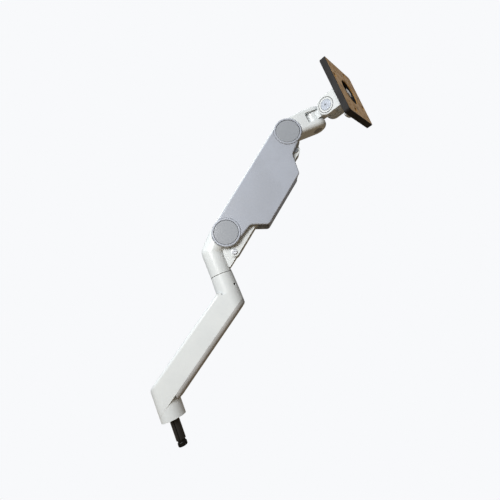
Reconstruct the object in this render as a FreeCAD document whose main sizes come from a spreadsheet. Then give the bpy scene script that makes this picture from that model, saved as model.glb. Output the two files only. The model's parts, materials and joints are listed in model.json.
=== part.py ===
import FreeCAD, Part
import math
import os
import Sketcher

# Monitor arm: a post in a base socket, a fixed angled link, a swivelling bracket,
# a counterbalanced lifting arm with a parallel link, and a swivel, tilt and turn head.
# Millimetres. Z is up along the post, X is forward, Y is to the left.
# The origin is on the post's axis at the lower hub's bottom face.

doc = FreeCAD.newDocument("MonitorArm")
sheet = doc.addObject("Spreadsheet::Sheet", "dims")
origin = FreeCAD.Vector(0, 0, 0)

DIMENSIONS = [
    # post below the lower hub
    ("postCoreRadius", 7.9), ("postBite", 40), ("postLength", 56),
    ("sleeveRadius", 9.75), ("sleeveBore", 7.95), ("sleeveTop", 0), ("sleeveLength", 43),
    ("sleeveSlit", 1.6), ("flangeRadius", 9.4), ("flangeLength", 8.5), ("flangeRound", 2.2),
    ("socketBore", 7.95),
    # fixed lower link
    ("linkReach", 195.2), ("lowerHubRadius", 25.6), ("upperHubRadius", 25.2),
    ("upperHubTopRadius", 24), ("splitHeight", 231), ("heelHeight", 66), ("edgeRound", 6), ("hubStep", 0.15),
    ("toeHeight", 31), ("chinHeight", 157.5), ("saddleHeight", 193.5), ("saddleRound", 3),
    ("stripRise", 10.8), ("stripRound", 7.5), ("stripGap", 0.15),
    ("channelHalf", 13), ("channelDepth", 20), ("channelStart", 42), ("channelEnd", 168),
    ("draftHeight", 42), ("hubBoreRadius", 12.02), ("hubBoreDepth", 56),
    ("hubFlangeRadius", 15.1), ("hubFlangeDepth", 2.1),
    ("gripScrewRadius", 3), ("gripScrewLow", 13), ("gripScrewHigh", 30),
    ("stopScrewRadius", 3.1), ("stopScrewHeight", 201.5), ("stopScrewTurn", -36),
    ("screwClearance", 0.1),
    # swivel at the upper hub
    ("bushingRadius", 12), ("bushingBore", 9.06), ("bushingLength", 44), ("bushingFlange", 15),
    ("bushingFlangeThick", 2), ("stemRadius", 9), ("stemRise", 30), ("stemDepth", 52),
    ("washerGap", 1.2), ("washerRadius", 20.4), ("ringRadius", 11.3), ("ringThick", 2.4),
    ("ringLevel", 49), ("stemGroove", 8.2),
    # lower bracket
    ("mainPivotX", 239.8), ("mainPivotZ", 309.1), ("liftAngle", 37.24), ("armLength", 268.2),
    ("tubeRadius", 23.6), ("elbowHeight", 284), ("leanAngle", 46.5), ("leanLength", 37),
    ("hubRadius", 20), ("hubHalf", 17.5), ("ringClear", 32.6),
    ("linkDropX", 0.5), ("linkDropZ", -44), ("webHalf", 10), ("webBoss", 9),
    ("webHeelZ", 239.4), ("webHeelX", 220.2), ("webTipX", 250.85), ("webTipZ", 261.6),
    ("webTopX", 242.9), ("webTopZ", 287), ("webRootX", 205.2),
    ("camRadius", 17), ("camAngle", -85), ("camBoss", 7.5), ("camPinRadius", 3.5),
    ("camSlotHalf", 5.9), ("camSlotBack", 16), ("camSlotFront", 30), ("camSlotDrop", 36),
    ("camSlotTop", 12), ("camSlotStep", 8),
    ("mainPinRadius", 6), ("mainPinHalf", 20.9), ("linkPinRadius", 4), ("linkPinHalf", 14.2),
    ("linkPinHead", 6.2), ("linkPinHeadThick", 1.8), ("fitGap", 0.02), ("runGap", 0.05),
    # lifting arm
    ("shellHalf", 21), ("shellInner", 18), ("shellTop", 33), ("shellWall", 3), ("shellEnd", 30.5),
    ("shellSkirt", 28.5), ("shellSoft", 2.2), ("shellMouth", 25),
    ("coverThick", 3.6), ("coverTop", 30.2), ("coverBottom", 70.8), ("coverWaistLow", 31),
    ("bellyStart", 61.8), ("bellyEnd", 195.3), ("bellyRound", 9), ("waistRearX", 41),
    ("waistRearZ", 36.5), ("waistFrontX", 226.5), ("waistFrontZ", 36), ("waistRound", 14),
    ("coverSoft", 3), ("coverRing", 31.9), ("floorThick", 2.6), ("floorGap", 0.2),
    ("floorInset", 4), ("floorLift", 0.5),
    ("ringOuter", 31.4), ("ringInner", 27.3), ("ringProud", 5), ("ringSoft", 1.1),
    ("capRadius", 26.9), ("capThick", 4.6), ("capSoft", 1.3), ("capSeat", 0.2),
    ("pivotBushing", 8.5),
    # balance strut inside the lifting arm
    ("strutDrop", 15), ("strutRadius", 9.8), ("strutBore", 8.6), ("strutStart", 42),
    ("strutEnd", 176), ("strutCapThick", 5), ("rodRadius", 4), ("pistonRadius", 8.5),
    ("pistonStart", 118), ("pistonLength", 7), ("yokeCentre", -9.07), ("yokeHalf", 9),
    ("yokeTop", 7.2), ("yokeBottom", 24.6), ("yokeThick", 5.4), ("yokeSlotHalf", 4.25),
    ("yokeSlotTop", 8.9), ("yokeSlotBottom", 21.2),
    ("blockStart", 181), ("blockEnd", 199), ("blockHalf", 9.8), ("blockHigh", 9.5),
    ("anchorPinX", 190), ("anchorPinRadius", 3.2), ("eyeHalf", 4), ("eyeHigh", 7),
    ("bridgeStart", 212), ("bridgeThick", 4), ("bridgeLow", 21), ("bridgeHigh", 29.9),
    ("screwRadius", 3.9), ("screwTip", 201), ("screwHead", 6.5), ("screwHeadLong", 6),
    ("screwSocket", 2.9),
    # parallel link
    ("linkHalf", 10.4), ("linkInner", 11), ("linkOuter", 14), ("linkFloorInset", 18),
    ("openPivotBore", 4.4), ("spacerRadius", 7.5), ("spacerThick", 0.9),
    # neck bracket
    ("swivelX", 72.2), ("neckRadius", 23.5), ("neckBottom", -14), ("neckTop", 36),
    ("neckRear", 18), ("neckRearTop", 32.5), ("neckChin", 9), ("neckBrow", 4),
    ("forkBottom", 1), ("forkTop", 26), ("forkBack", 52.6), ("forkWidth", 60),
    ("swivelPinRadius", 6), ("swivelPinHead", 9.5), ("swivelPinHeadThick", 3),
    ("swivelSink", 3.4), ("swivelBushing", 8), ("swivelBushingLong", 6),
    # swivel knuckle
    ("swivelAngle", -38.6), ("barrelRadius", 18.6), ("barrelGap", 0.9), ("tiltReach", 47.5),
    ("tiltHeight", 13.5), ("knuckleHalf", 11.5), ("knuckleArmHigh", 9.5), ("tiltBarrel", 13.5),
    ("tiltBarrelHalf", 15), ("tiltBushing", 7), ("tiltBushingLong", 8),
    # tilt head
    ("tiltPinRadius", 5), ("headHalf", 24), ("headInner", 15.6), ("headRadius", 21),
    ("headFront", 33), ("headBack", 15.8), ("headSoft", 1.6), ("tiltCapRadius", 11.8),
    ("tiltCapBore", 12.1), ("tiltCapSink", 3), ("tiltCapProud", 0.8), ("tiltSocket", 2.4),
    ("tiltSocketDeep", 2.2), ("tiltGrooveInner", 16), ("tiltGrooveOuter", 17.3),
    ("tiltGrooveDeep", 0.9),
    # turning plate
    ("plateTurn", -3.3), ("plateBack", 37.4), ("plateSize", 134), ("plateThick", 12.8),
    ("plateCorner", 6.5), ("plateSoft", 1.1), ("faceInset", 1.6), ("faceThick", 2),
    ("faceCorner", 5), ("recessRadius", 30.5), ("recessDeep", 9.4), ("faceHole", 30),
    ("discStart", 33.7), ("discThick", 3.7), ("discRadius", 37), ("spindleRadius", 7),
    ("spindleTail", 20), ("spindleBushing", 10), ("hubPlateRadius", 23), ("hubPlateThick", 2),
    ("hubNutFlats", 9), ("hubNutThick", 4), ("hubWasherRadius", 12), ("hubWasherThick", 1.4),
    ("monitorHole", 2.6), ("wideSpacing", 50), ("closeSpacing", 37.5),
    ("largeHole", 6), ("largeReach", 59), ("largeTurn", 66.8),
    ("plateScrewRadius", 1.9), ("plateScrewHead", 3.4), ("plateScrewReach", 44),
    ("plateScrewSink", 1.4),
]

for row, (alias, size) in enumerate(DIMENSIONS, start=1):
    sheet.set("A%d" % row, str(size))
    sheet.setAlias("A%d" % row, alias)
doc.recompute()


probe = doc.addObject("Part::Box", "probe")
made = []


def measure(text):
    # The number that a dimension expression comes to.
    return float(probe.evalExpression(str(text)))


def dim(name):
    return measure("dims." + name)


def placed(x=0.0, y=0.0, z=0.0, axis=(0, 0, 1), turn=0.0):
    return FreeCAD.Placement(FreeCAD.Vector(x, y, z), FreeCAD.Rotation(FreeCAD.Vector(*axis), turn))


def armFrame():
    # X runs along the lifting arm from its lower pivot, Z is square to it.
    return placed(dim("mainPivotX"), 0, dim("mainPivotZ"), (0, 1, 0), -dim("liftAngle"))


def linkFrame():
    x = dim("mainPivotX") + dim("linkDropX")
    return placed(x, 0, dim("mainPivotZ") + dim("linkDropZ"), (0, 1, 0), -dim("liftAngle"))


def neckFrame():
    # Level, with its origin on the lifting arm's upper pivot.
    lift = math.radians(dim("liftAngle"))
    x = dim("mainPivotX") + dim("armLength") * math.cos(lift)
    return placed(x, 0, dim("mainPivotZ") + dim("armLength") * math.sin(lift))


def headFrame():
    # Turned about the neck's vertical axis, with its origin level with the upper pivot.
    return neckFrame() * placed(dim("swivelX"), 0, 0, (0, 0, 1), dim("swivelAngle"))


def tiltFrame():
    return headFrame() * placed(dim("tiltReach"), 0, dim("tiltHeight"))


def plateFrame():
    return tiltFrame() * placed(0, 0, 0, (1, 0, 0), dim("plateTurn"))


def newBody(label, frame):
    body = doc.addObject("PartDesign::Body", label)
    body.Label = label
    body.Placement = frame
    made.append(body)
    return body


def originPlane(body, role):
    for feature in body.Origin.OriginFeatures:
        if feature.Role == role:
            return feature
    raise RuntimeError("no " + role)


def sketchOn(body, role, offset="0"):
    sketch = body.newObject("Sketcher::SketchObject", body.Label + "_sketch")
    sketch.AttachmentSupport = [(originPlane(body, role), "")]
    sketch.MapMode = "FlatFace"
    if offset != "0":
        sketch.setExpression("AttachmentOffset.Base.z", offset)
    return sketch


def fixPoint(sketch, geometry, point, x, y):
    # Holds a sketch point at two dimension expressions from the origin.
    for kind, text, zeroAxis in (("DistanceX", x, -2), ("DistanceY", y, -1)):
        size = measure(text)
        if abs(size) < 1e-9:
            sketch.addConstraint(Sketcher.Constraint("PointOnObject", geometry, point, zeroAxis))
        else:
            rule = Sketcher.Constraint(kind, -1, 1, geometry, point, size)
            index = sketch.addConstraint(rule)
            sketch.setExpression("Constraints[%d]" % index, str(text))


def ring(sketch, x, y, radius):
    # A circle held by its centre and radius.
    centre = FreeCAD.Vector(measure(x), measure(y), 0)
    circle = Part.Circle(centre, FreeCAD.Vector(0, 0, 1), measure(radius))
    geometry = sketch.addGeometry(circle)
    fixPoint(sketch, geometry, 3, x, y)
    index = sketch.addConstraint(Sketcher.Constraint("Radius", geometry, measure(radius)))
    sketch.setExpression("Constraints[%d]" % index, str(radius))


def cornerPoints(corners):
    # Gives each corner its place, its rounding and the two points where the rounding starts.
    spots = [FreeCAD.Vector(measure(c[0]), measure(c[1]), 0) for c in corners]
    found = []
    for i, corner in enumerate(corners):
        spot = spots[i]
        before = (spot - spots[i - 1]).normalize()
        after = (spots[(i + 1) % len(spots)] - spot).normalize()
        radius = measure(corner[2]) if len(corner) > 2 else 0.0
        bend = math.atan2(before.x * after.y - before.y * after.x, before * after)
        reach = radius * math.tan(abs(bend) / 2)
        found.append((spot, radius, bend, spot - before * reach, spot + after * reach))
    return found


def loop(sketch, corners):
    # A closed outline of straight lines with rounded or sharp corners.
    found = cornerPoints(corners)
    count = len(found)
    lines = []
    for i in range(count):
        start = found[i][4]
        end = found[(i + 1) % count][3]
        lines.append(sketch.addGeometry(Part.LineSegment(start, end)))
    for i, corner in enumerate(corners):
        spot, radius, bend, leave, enter = found[i]
        into = lines[i - 1]
        out = lines[i]
        if radius == 0:
            sketch.addConstraint(Sketcher.Constraint("Coincident", into, 2, out, 1))
            fixPoint(sketch, out, 1, corner[0], corner[1])
            continue
        inward = FreeCAD.Vector(0, 0, 1 if bend > 0 else -1).cross((spot - leave).normalize())
        centre = leave + inward * radius
        first, last = (leave, enter) if bend > 0 else (enter, leave)
        startAngle = math.atan2(first.y - centre.y, first.x - centre.x)
        endAngle = math.atan2(last.y - centre.y, last.x - centre.x)
        circle = Part.Circle(centre, FreeCAD.Vector(0, 0, 1), radius)
        arc = sketch.addGeometry(Part.ArcOfCircle(circle, startAngle, endAngle))
        intoEnd, outEnd = (1, 2) if bend > 0 else (2, 1)
        sketch.addConstraint(Sketcher.Constraint("Tangent", into, 2, arc, intoEnd))
        sketch.addConstraint(Sketcher.Constraint("Tangent", out, 1, arc, outEnd))
        index = sketch.addConstraint(Sketcher.Constraint("Radius", arc, radius))
        sketch.setExpression("Constraints[%d]" % index, str(corner[2]))
        mark = sketch.addGeometry(Part.Point(spot), True)
        sketch.addConstraint(Sketcher.Constraint("PointOnObject", mark, 1, into))
        sketch.addConstraint(Sketcher.Constraint("PointOnObject", mark, 1, out))
        fixPoint(sketch, mark, 1, corner[0], corner[1])


def box(sketch, x0, y0, x1, y1, radius=None):
    corners = [(x0, y0), (x1, y0), (x1, y1), (x0, y1)]
    if radius is not None:
        corners = [(x, y, radius) for x, y in corners]
    loop(sketch, corners)


def settle(body, feature, before, grows):
    # Recomputes and stops if a feature did not add or remove material.
    body.Tip = feature
    doc.recompute()
    after = feature.Shape.Volume
    changed = after > before + 1e-3 if grows else after < before - 1e-3
    if not changed or not feature.Shape.isValid():
        raise RuntimeError("%s %s: %.3f to %.3f" % (body.Label, feature.Name, before, after))


def volumeOf(body):
    return body.Shape.Volume if body.Tip is not None and not body.Shape.isNull() else 0.0


def pad(body, sketch, length, both=False, back=False):
    before = volumeOf(body)
    feature = body.newObject("PartDesign::Pad", body.Label + "_pad")
    feature.Profile = sketch
    feature.SideType = "Symmetric" if both else "One side"
    feature.Reversed = back
    feature.setExpression("Length", str(length))
    settle(body, feature, before, True)


def cut(body, sketch, length, both=False, back=False):
    before = volumeOf(body)
    feature = body.newObject("PartDesign::Pocket", body.Label + "_cut")
    feature.Profile = sketch
    feature.SideType = "Symmetric" if both else "One side"
    feature.Reversed = back
    feature.setExpression("Length", str(length))
    settle(body, feature, before, False)


def turned(body, sketch, grows=True, axis="H_Axis"):
    # Spins a half outline about one of its own sketch's axes.
    before = volumeOf(body)
    kind = "PartDesign::Revolution" if grows else "PartDesign::Groove"
    feature = body.newObject(kind, body.Label + "_turn")
    feature.Profile = sketch
    feature.ReferenceAxis = (sketch, [axis])
    feature.Angle = 360
    settle(body, feature, before, grows)


def edgesWhere(body, test):
    names = []
    for i, edge in enumerate(body.Tip.Shape.Edges, start=1):
        if test(edge):
            names.append("Edge%d" % i)
    return names


def soften(body, radius, test):
    # Rounds the edges that the test picks.
    names = edgesWhere(body, test)
    if not names:
        raise RuntimeError(body.Label + " has no edge to round")
    base = body.Tip
    feature = body.newObject("PartDesign::Fillet", body.Label + "_round")
    feature.Base = (base, names)
    feature.setExpression("Radius", str(radius))
    body.Tip = feature
    doc.recompute()
    if not feature.Shape.isValid() or feature.Shape.isNull():
        raise RuntimeError(body.Label + " rounding failed")


def drum(label, frame, profile, role="XZ_Plane", axis="V_Axis"):
    # A turned piece from a half outline of (radius, height) corners.
    body = newBody(label, frame)
    sketch = sketchOn(body, role)
    loop(sketch, profile)
    turned(body, sketch, True, axis)
    return body


def tube(inner, outer, low, high):
    return [(inner, low), (outer, low), (outer, high), (inner, high)]


def eachSide(label, frame, corners, centres=((0, 0),)):
    # One part of equal solids: a half outline of (radius, distance along Y) corners,
    # spun about Y at each centre and repeated on both sides of the arm's middle.
    solids = []
    for x, z in centres:
        for side in (1, -1):
            points = [FreeCAD.Vector(measure(r), side * measure(y), 0) for r, y in corners]
            face = Part.Face(Part.makePolygon(points + points[:1]))
            solid = face.revolve(origin, FreeCAD.Vector(0, 1, 0), 360)
            solid.translate(FreeCAD.Vector(measure(x), 0, measure(z)))
            solids.append(solid)
    return gathered(label, frame, solids)


def gathered(label, frame, solids):
    # One part of several equal solids, such as a set of screws.
    part = doc.addObject("Part::Feature", label)
    part.Label = label
    part.Shape = Part.makeCompound(solids)
    part.Placement = frame
    made.append(part)
    return part


def screwSolid(shank, head, headLong, reach, socket):
    # A screw along -Z with its head on top of z = 0 and a hexagonal socket in the head.
    body = Part.makeCylinder(shank, reach, FreeCAD.Vector(0, 0, -reach))
    top = Part.makeCylinder(head, headLong)
    points = []
    for i in range(7):
        angle = math.radians(60 * i)
        points.append(FreeCAD.Vector(socket * math.cos(angle), socket * math.sin(angle), headLong))
    hexagon = Part.Face(Part.makePolygon(points)).extrude(FreeCAD.Vector(0, 0, -0.6 * headLong))
    return body.fuse(top).cut(hexagon).removeSplitter()


def pointed(solid, place):
    copy = solid.copy()
    copy.Placement = place
    return copy


# ---------------------------------------------------------------- post


def buildPost():
    # The steel core, its turned foot with a groove above it, and the part inside the hub.
    low = "-dims.postLength"
    foot = "-dims.postLength + dims.flangeLength"
    profile = [
        ("0", low), ("dims.flangeRadius", low, "dims.flangeRound"),
        ("dims.flangeRadius", foot, "dims.flangeRound * 0.5"), ("dims.postCoreRadius", foot),
        ("dims.postCoreRadius", "dims.postBite", "1"), ("0", "dims.postBite"),
    ]
    drum("base_post", placed(), profile)


def buildSleeve():
    # The split sleeve that fills the socket of a desk base.
    top = "-dims.sleeveTop"
    low = "-dims.sleeveTop - dims.sleeveLength"
    body = drum("post_sleeve", placed(), tube("dims.sleeveBore", "dims.sleeveRadius", low, top))
    sketch = sketchOn(body, "XY_Plane", low)
    box(sketch, "-dims.sleeveSlit / 2", "-dims.sleeveRadius - 1", "dims.sleeveSlit / 2", "0")
    cut(body, sketch, "dims.sleeveLength", back=True)


# ---------------------------------------------------------------- lower link


def stadium(sketch, x0, r0, x1, r1):
    # A plan outline of two end circles and the straight sides that touch both.
    a = FreeCAD.Vector(measure(x0), 0, 0)
    b = FreeCAD.Vector(measure(x1), 0, 0)
    ra = measure(r0)
    rb = measure(r1)
    lean = math.asin((ra - rb) / (b.x - a.x))
    up = FreeCAD.Vector(math.sin(lean), math.cos(lean), 0)
    down = FreeCAD.Vector(up.x, -up.y, 0)
    normal = FreeCAD.Vector(0, 0, 1)
    quarter = math.pi / 2
    rear = Part.ArcOfCircle(Part.Circle(a, normal, ra), quarter - lean, 3 * quarter + lean)
    front = Part.ArcOfCircle(Part.Circle(b, normal, rb), lean - quarter, quarter - lean)
    left = sketch.addGeometry(rear)
    right = sketch.addGeometry(front)
    lower = sketch.addGeometry(Part.LineSegment(a + down * ra, b + down * rb))
    upper = sketch.addGeometry(Part.LineSegment(b + up * rb, a + up * ra))
    joins = ((left, 2, lower, 1), (lower, 2, right, 1), (right, 2, upper, 1), (upper, 2, left, 1))
    for first, firstEnd, second, secondEnd in joins:
        sketch.addConstraint(Sketcher.Constraint("Tangent", first, firstEnd, second, secondEnd))
    for arc, x, radius in ((left, x0, r0), (right, x1, r1)):
        fixPoint(sketch, arc, 3, x, "0")
        index = sketch.addConstraint(Sketcher.Constraint("Radius", arc, measure(radius)))
        sketch.setExpression("Constraints[%d]" % index, str(radius))


def trimToPlan(body, x0, r0, x1, r1):
    # Removes everything outside a plan outline, from below to above the piece.
    sketch = sketchOn(body, "XY_Plane")
    box(sketch, "-300", "-300", "900", "300")
    stadium(sketch, x0, r0, x1, r1)
    cut(body, sketch, "2000", both=True)


def buildLowerLink():
    # The fixed link: a long slanting body between two round hubs, joined smoothly to both.
    body = newBody("lower_link_casting", placed())
    front = "dims.linkReach + dims.upperHubRadius + 3"
    rear = "dims.linkReach - dims.upperHubRadius"
    sketch = sketchOn(body, "XZ_Plane")
    loop(sketch, [
        ("-dims.lowerHubRadius - 3", underside("-dims.lowerHubRadius - 3")), (front, underside(front)),
        (front, "dims.splitHeight"), (rear, "dims.splitHeight"),
        (rear, "dims.saddleHeight", "dims.saddleRound"),
        ("-dims.lowerHubRadius - 3", "dims.heelHeight - 2"),
    ])
    pad(body, sketch, "2 * dims.lowerHubRadius + 6", both=True)
    trimToPlan(body, "0", "dims.lowerHubRadius", "dims.linkReach", "dims.upperHubRadius")
    roundHub(body, "dims.linkReach", "dims.upperHubRadius - dims.hubStep", "dims.saddleHeight + 1", "100")
    soften(body, "dims.edgeRound", topLinkEdge)
    sketch = sketchOn(body, "XY_Plane")
    ring(sketch, "0", "0", "dims.lowerHubRadius - dims.hubStep")
    pad(body, sketch, "dims.toeHeight + dims.stripRise + 2")
    taperUpperHub(body)
    hollowLowerLink(body)
    boreUpperHub(body)
    sketch = sketchOn(body, "XY_Plane")
    ring(sketch, "0", "0", "dims.socketBore")
    cut(body, sketch, "dims.postBite + 1", back=True)
    drillLowerLink(body)


def underside(x, drop="0"):
    # The height of the casting's slanting underside at a distance along the link.
    run = "(dims.linkReach + dims.upperHubRadius - dims.lowerHubRadius)"
    slope = "(dims.chinHeight - dims.toeHeight) / " + run
    return "dims.toeHeight + dims.stripRise - (%s) + (%s - dims.lowerHubRadius) * %s" % (drop, x, slope)


def topLinkEdge(edge):
    # The long upper edges of the link and the edge round its heel.
    middle = edge.valueAt((edge.FirstParameter + edge.LastParameter) / 2)
    rise = (dim("saddleHeight") - dim("heelHeight") + 2) / (
        dim("linkReach") - dim("upperHubRadius") + dim("lowerHubRadius") + 3)
    level = dim("heelHeight") - 2 + rise * (middle.x + dim("lowerHubRadius") + 3)
    onTop = abs(middle.z - level) < 0.01 and abs(middle.y) > 1
    heel = abs(middle.x + dim("lowerHubRadius")) < 1e-3 and abs(middle.z - level) < 0.01
    return (onTop or heel) and edge.Length > 20


def roundHub(body, x, radius, level, height):
    # Leaves only a round hub between two heights.
    sketch = sketchOn(body, "XY_Plane", level)
    box(sketch, "%s - 40" % x, "-60", "%s + 40" % x, "60")
    ring(sketch, x, "0", radius)
    cut(body, sketch, height, back=True)


def taperUpperHub(body):
    # Draws the upper hub in towards its top.
    sketch = sketchOn(body, "XZ_Plane")
    top = "dims.splitHeight"
    level = "dims.splitHeight - dims.draftHeight"
    loop(sketch, [
        ("dims.linkReach + dims.upperHubRadius", level),
        ("dims.linkReach + dims.upperHubRadius + 3", level),
        ("dims.linkReach + dims.upperHubRadius + 3", top),
        ("dims.linkReach + dims.upperHubTopRadius", top),
    ])
    before = volumeOf(body)
    line = sketch.addGeometry(
        Part.LineSegment(FreeCAD.Vector(dim("linkReach"), 0, 0), FreeCAD.Vector(dim("linkReach"), 10, 0)),
        True)
    feature = body.newObject("PartDesign::Groove", body.Label + "_taper")
    feature.Profile = sketch
    feature.ReferenceAxis = (sketch, ["Axis0"])
    feature.Angle = 360
    settle(body, feature, before, False)


def hollowLowerLink(body):
    # The cable channel along the underside, closed by the snap-on strip.
    sketch = sketchOn(body, "XZ_Plane")
    low0 = underside("dims.channelStart", "1")
    low1 = underside("dims.channelEnd", "1")
    loop(sketch, [
        ("dims.channelStart", low0), ("dims.channelEnd", low1),
        ("dims.channelEnd - 6", low1 + " + dims.channelDepth - 4", "4"),
        ("dims.channelStart - 6", low0 + " + dims.channelDepth - 4", "4"),
    ])
    cut(body, sketch, "2 * dims.channelHalf", both=True)


def boreUpperHub(body):
    for radius, depth in (("dims.hubBoreRadius", "dims.hubBoreDepth"),
                          ("dims.hubFlangeRadius", "dims.hubFlangeDepth")):
        sketch = sketchOn(body, "XY_Plane", "dims.splitHeight")
        ring(sketch, "dims.linkReach", "0", radius)
        cut(body, sketch, depth)


def drillLowerLink(body):
    # Holes for the two grip screws behind the lower hub.
    sketch = sketchOn(body, "YZ_Plane")
    gap = "dims.gripScrewRadius + dims.screwClearance"
    ring(sketch, "0", "dims.gripScrewLow", gap)
    ring(sketch, "0", "dims.gripScrewHigh", gap)
    cut(body, sketch, "40")
    before = volumeOf(body)
    feature = body.newObject("PartDesign::SubtractiveCylinder", body.Label + "_stop")
    feature.AttachmentSupport = [(originPlane(body, "XY_Plane"), "")]
    feature.MapMode = "FlatFace"
    lie = FreeCAD.Rotation(FreeCAD.Vector(0, 0, 1), dim("stopScrewTurn"))
    lie = lie * FreeCAD.Rotation(FreeCAD.Vector(0, 1, 0), 90)
    feature.AttachmentOffset = FreeCAD.Placement(origin, lie)
    feature.setExpression("AttachmentOffset.Base.x", "dims.linkReach")
    feature.setExpression("AttachmentOffset.Base.z", "dims.stopScrewHeight")
    feature.setExpression("Radius", "dims.stopScrewRadius + dims.screwClearance")
    feature.setExpression("Height", "dims.upperHubRadius + 5")
    settle(body, feature, before, False)


def buildStrip():
    # The snap-on strip that closes the cable channel and rounds the link's underside.
    body = newBody("lower_link_cable_strip", placed())
    front = "dims.linkReach + dims.upperHubRadius + 3"
    start = "dims.lowerHubRadius + 1"
    sketch = sketchOn(body, "XZ_Plane")
    loop(sketch, [
        (start, underside(start, "dims.stripRise")), (front, underside(front, "dims.stripRise")),
        (front, underside(front, "dims.stripGap")), (start, underside(start, "dims.stripGap")),
    ])
    pad(body, sketch, "2 * dims.lowerHubRadius + 6", both=True)
    trimToPlan(body, "0", "dims.lowerHubRadius", "dims.linkReach", "dims.upperHubRadius")
    soften(body, "dims.stripRound", lowerStripEdge)


def lowerStripEdge(edge):
    # The edges of the strip's outer face, but not the one at its lower end.
    middle = edge.valueAt((edge.FirstParameter + edge.LastParameter) / 2)
    level = measure(underside(middle.x, "dims.stripRise"))
    return abs(middle.z - level) < 1e-2 and middle.x > dim("lowerHubRadius") + 2


def buildLinkScrews():
    # Grip screws behind the lower hub that hold the post.
    length = dim("lowerHubRadius") - dim("postCoreRadius") - 1.2
    solids = []
    for level in ("gripScrewLow", "gripScrewHigh"):
        screw = socketScrew(dim("gripScrewRadius"), length)
        place = placed(-dim("postCoreRadius") - 0.1, 0, dim(level), (0, 1, 0), -90)
        solids.append(pointed(screw, place))
    gathered("post_grip_screws", placed(), solids)
    length = dim("upperHubRadius") - dim("bushingRadius") - 2.2
    screw = socketScrew(dim("stopScrewRadius"), length)
    turn = placed(dim("linkReach"), 0, dim("stopScrewHeight"), (0, 0, 1), dim("stopScrewTurn"))
    place = turn * placed(dim("bushingRadius") + 0.2, 0, 0, (0, 1, 0), 90)
    gathered("hub_stop_screw", placed(), [pointed(screw, place)])


def socketScrew(radius, length):
    # A headless screw from z = 0 to its length, with a hexagonal socket in its end.
    shank = Part.makeCylinder(radius, length)
    points = []
    for i in range(7):
        angle = math.radians(60 * i)
        reach = 0.55 * radius
        points.append(FreeCAD.Vector(reach * math.cos(angle), reach * math.sin(angle), length))
    depth = FreeCAD.Vector(0, 0, -0.35 * length)
    return shank.cut(Part.Face(Part.makePolygon(points)).extrude(depth))


# ---------------------------------------------------------------- swivel column


def buildColumn():
    top = "dims.splitHeight"
    axisFrame = placed(dim("linkReach"))
    drum("column_bushing", axisFrame, [
        ("dims.bushingBore", top + " - dims.bushingLength"),
        ("dims.bushingRadius", top + " - dims.bushingLength"),
        ("dims.bushingRadius", top + " - dims.bushingFlangeThick"),
        ("dims.bushingFlange", top + " - dims.bushingFlangeThick"),
        ("dims.bushingFlange", top), ("dims.bushingBore", top),
    ])
    drum("column_thrust_washer", axisFrame,
         tube("dims.bushingBore", "dims.washerRadius", top + " + 0.05", top + " + dims.washerGap - 0.05"))
    low = top + " - dims.stemDepth"
    groove = top + " - dims.ringLevel"
    drum("bracket_stem", axisFrame, [
        ("0", low), ("dims.stemRadius", low), ("dims.stemRadius", groove),
        ("dims.stemGroove", groove), ("dims.stemGroove", groove + " + dims.ringThick"),
        ("dims.stemRadius", groove + " + dims.ringThick"),
        ("dims.stemRadius", top + " + dims.washerGap + dims.stemRise"),
        ("0", top + " + dims.washerGap + dims.stemRise"),
    ])
    ringLow = groove + " + 0.05"
    ringTop = groove + " + dims.ringThick - 0.05"
    body = drum("stem_retaining_ring", axisFrame,
                tube("dims.stemGroove + 0.05", "dims.ringRadius", ringLow, ringTop))
    sketch = sketchOn(body, "XY_Plane", ringLow)
    box(sketch, "-2", "0", "2", "dims.ringRadius + 1")
    cut(body, sketch, "dims.ringThick", back=True)


# ---------------------------------------------------------------- lower bracket


def buildLowerBracket():
    # A bent tube: upright over the column, then leaning forward to the main pivot's hub.
    base = "dims.splitHeight + dims.washerGap"
    body = newBody("lower_bracket_casting", placed())
    sketch = sketchOn(body, "XY_Plane", base)
    ring(sketch, "dims.linkReach", "0", "dims.tubeRadius")
    pad(body, sketch, "dims.elbowHeight - (%s)" % base)
    addPrimitive(body, "Sphere", "dims.linkReach", "dims.elbowHeight", "dims.tubeRadius")
    addPrimitive(body, "Cylinder", "dims.linkReach", "dims.elbowHeight", "dims.tubeRadius",
                 "dims.leanLength")
    endX = "dims.linkReach + dims.leanLength * cos(dims.leanAngle * 1 deg)"
    endZ = "dims.elbowHeight + dims.leanLength * sin(dims.leanAngle * 1 deg)"
    addPrimitive(body, "Sphere", endX, endZ, "dims.tubeRadius")
    sketch = sketchOn(body, "XZ_Plane")
    ring(sketch, "dims.mainPivotX", "dims.mainPivotZ", "dims.hubRadius")
    pad(body, sketch, "2 * dims.hubHalf", both=True)
    addWeb(body)
    trimSides(body, "dims.mainPivotX", "dims.mainPivotZ")
    boreLowerBracket(body, base)


def addPrimitive(body, kind, x, z, radius, length=None):
    # A ball, or a round bar leaning forward from a point in the middle plane.
    before = volumeOf(body)
    feature = body.newObject("PartDesign::Additive" + kind, body.Label + "_" + kind.lower())
    feature.AttachmentSupport = [(originPlane(body, "XZ_Plane"), "")]
    feature.MapMode = "FlatFace"
    if length is not None:
        upright = FreeCAD.Rotation(FreeCAD.Vector(1, 0, 0), -90)
        lean = FreeCAD.Rotation(FreeCAD.Vector(0, 0, 1), dim("leanAngle") - 90)
        feature.AttachmentOffset = FreeCAD.Placement(origin, lean * upright)
        feature.setExpression("Height", length)
    feature.setExpression("AttachmentOffset.Base.x", x)
    feature.setExpression("AttachmentOffset.Base.y", z)
    feature.setExpression("Radius", radius)
    settle(body, feature, before, True)


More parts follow.
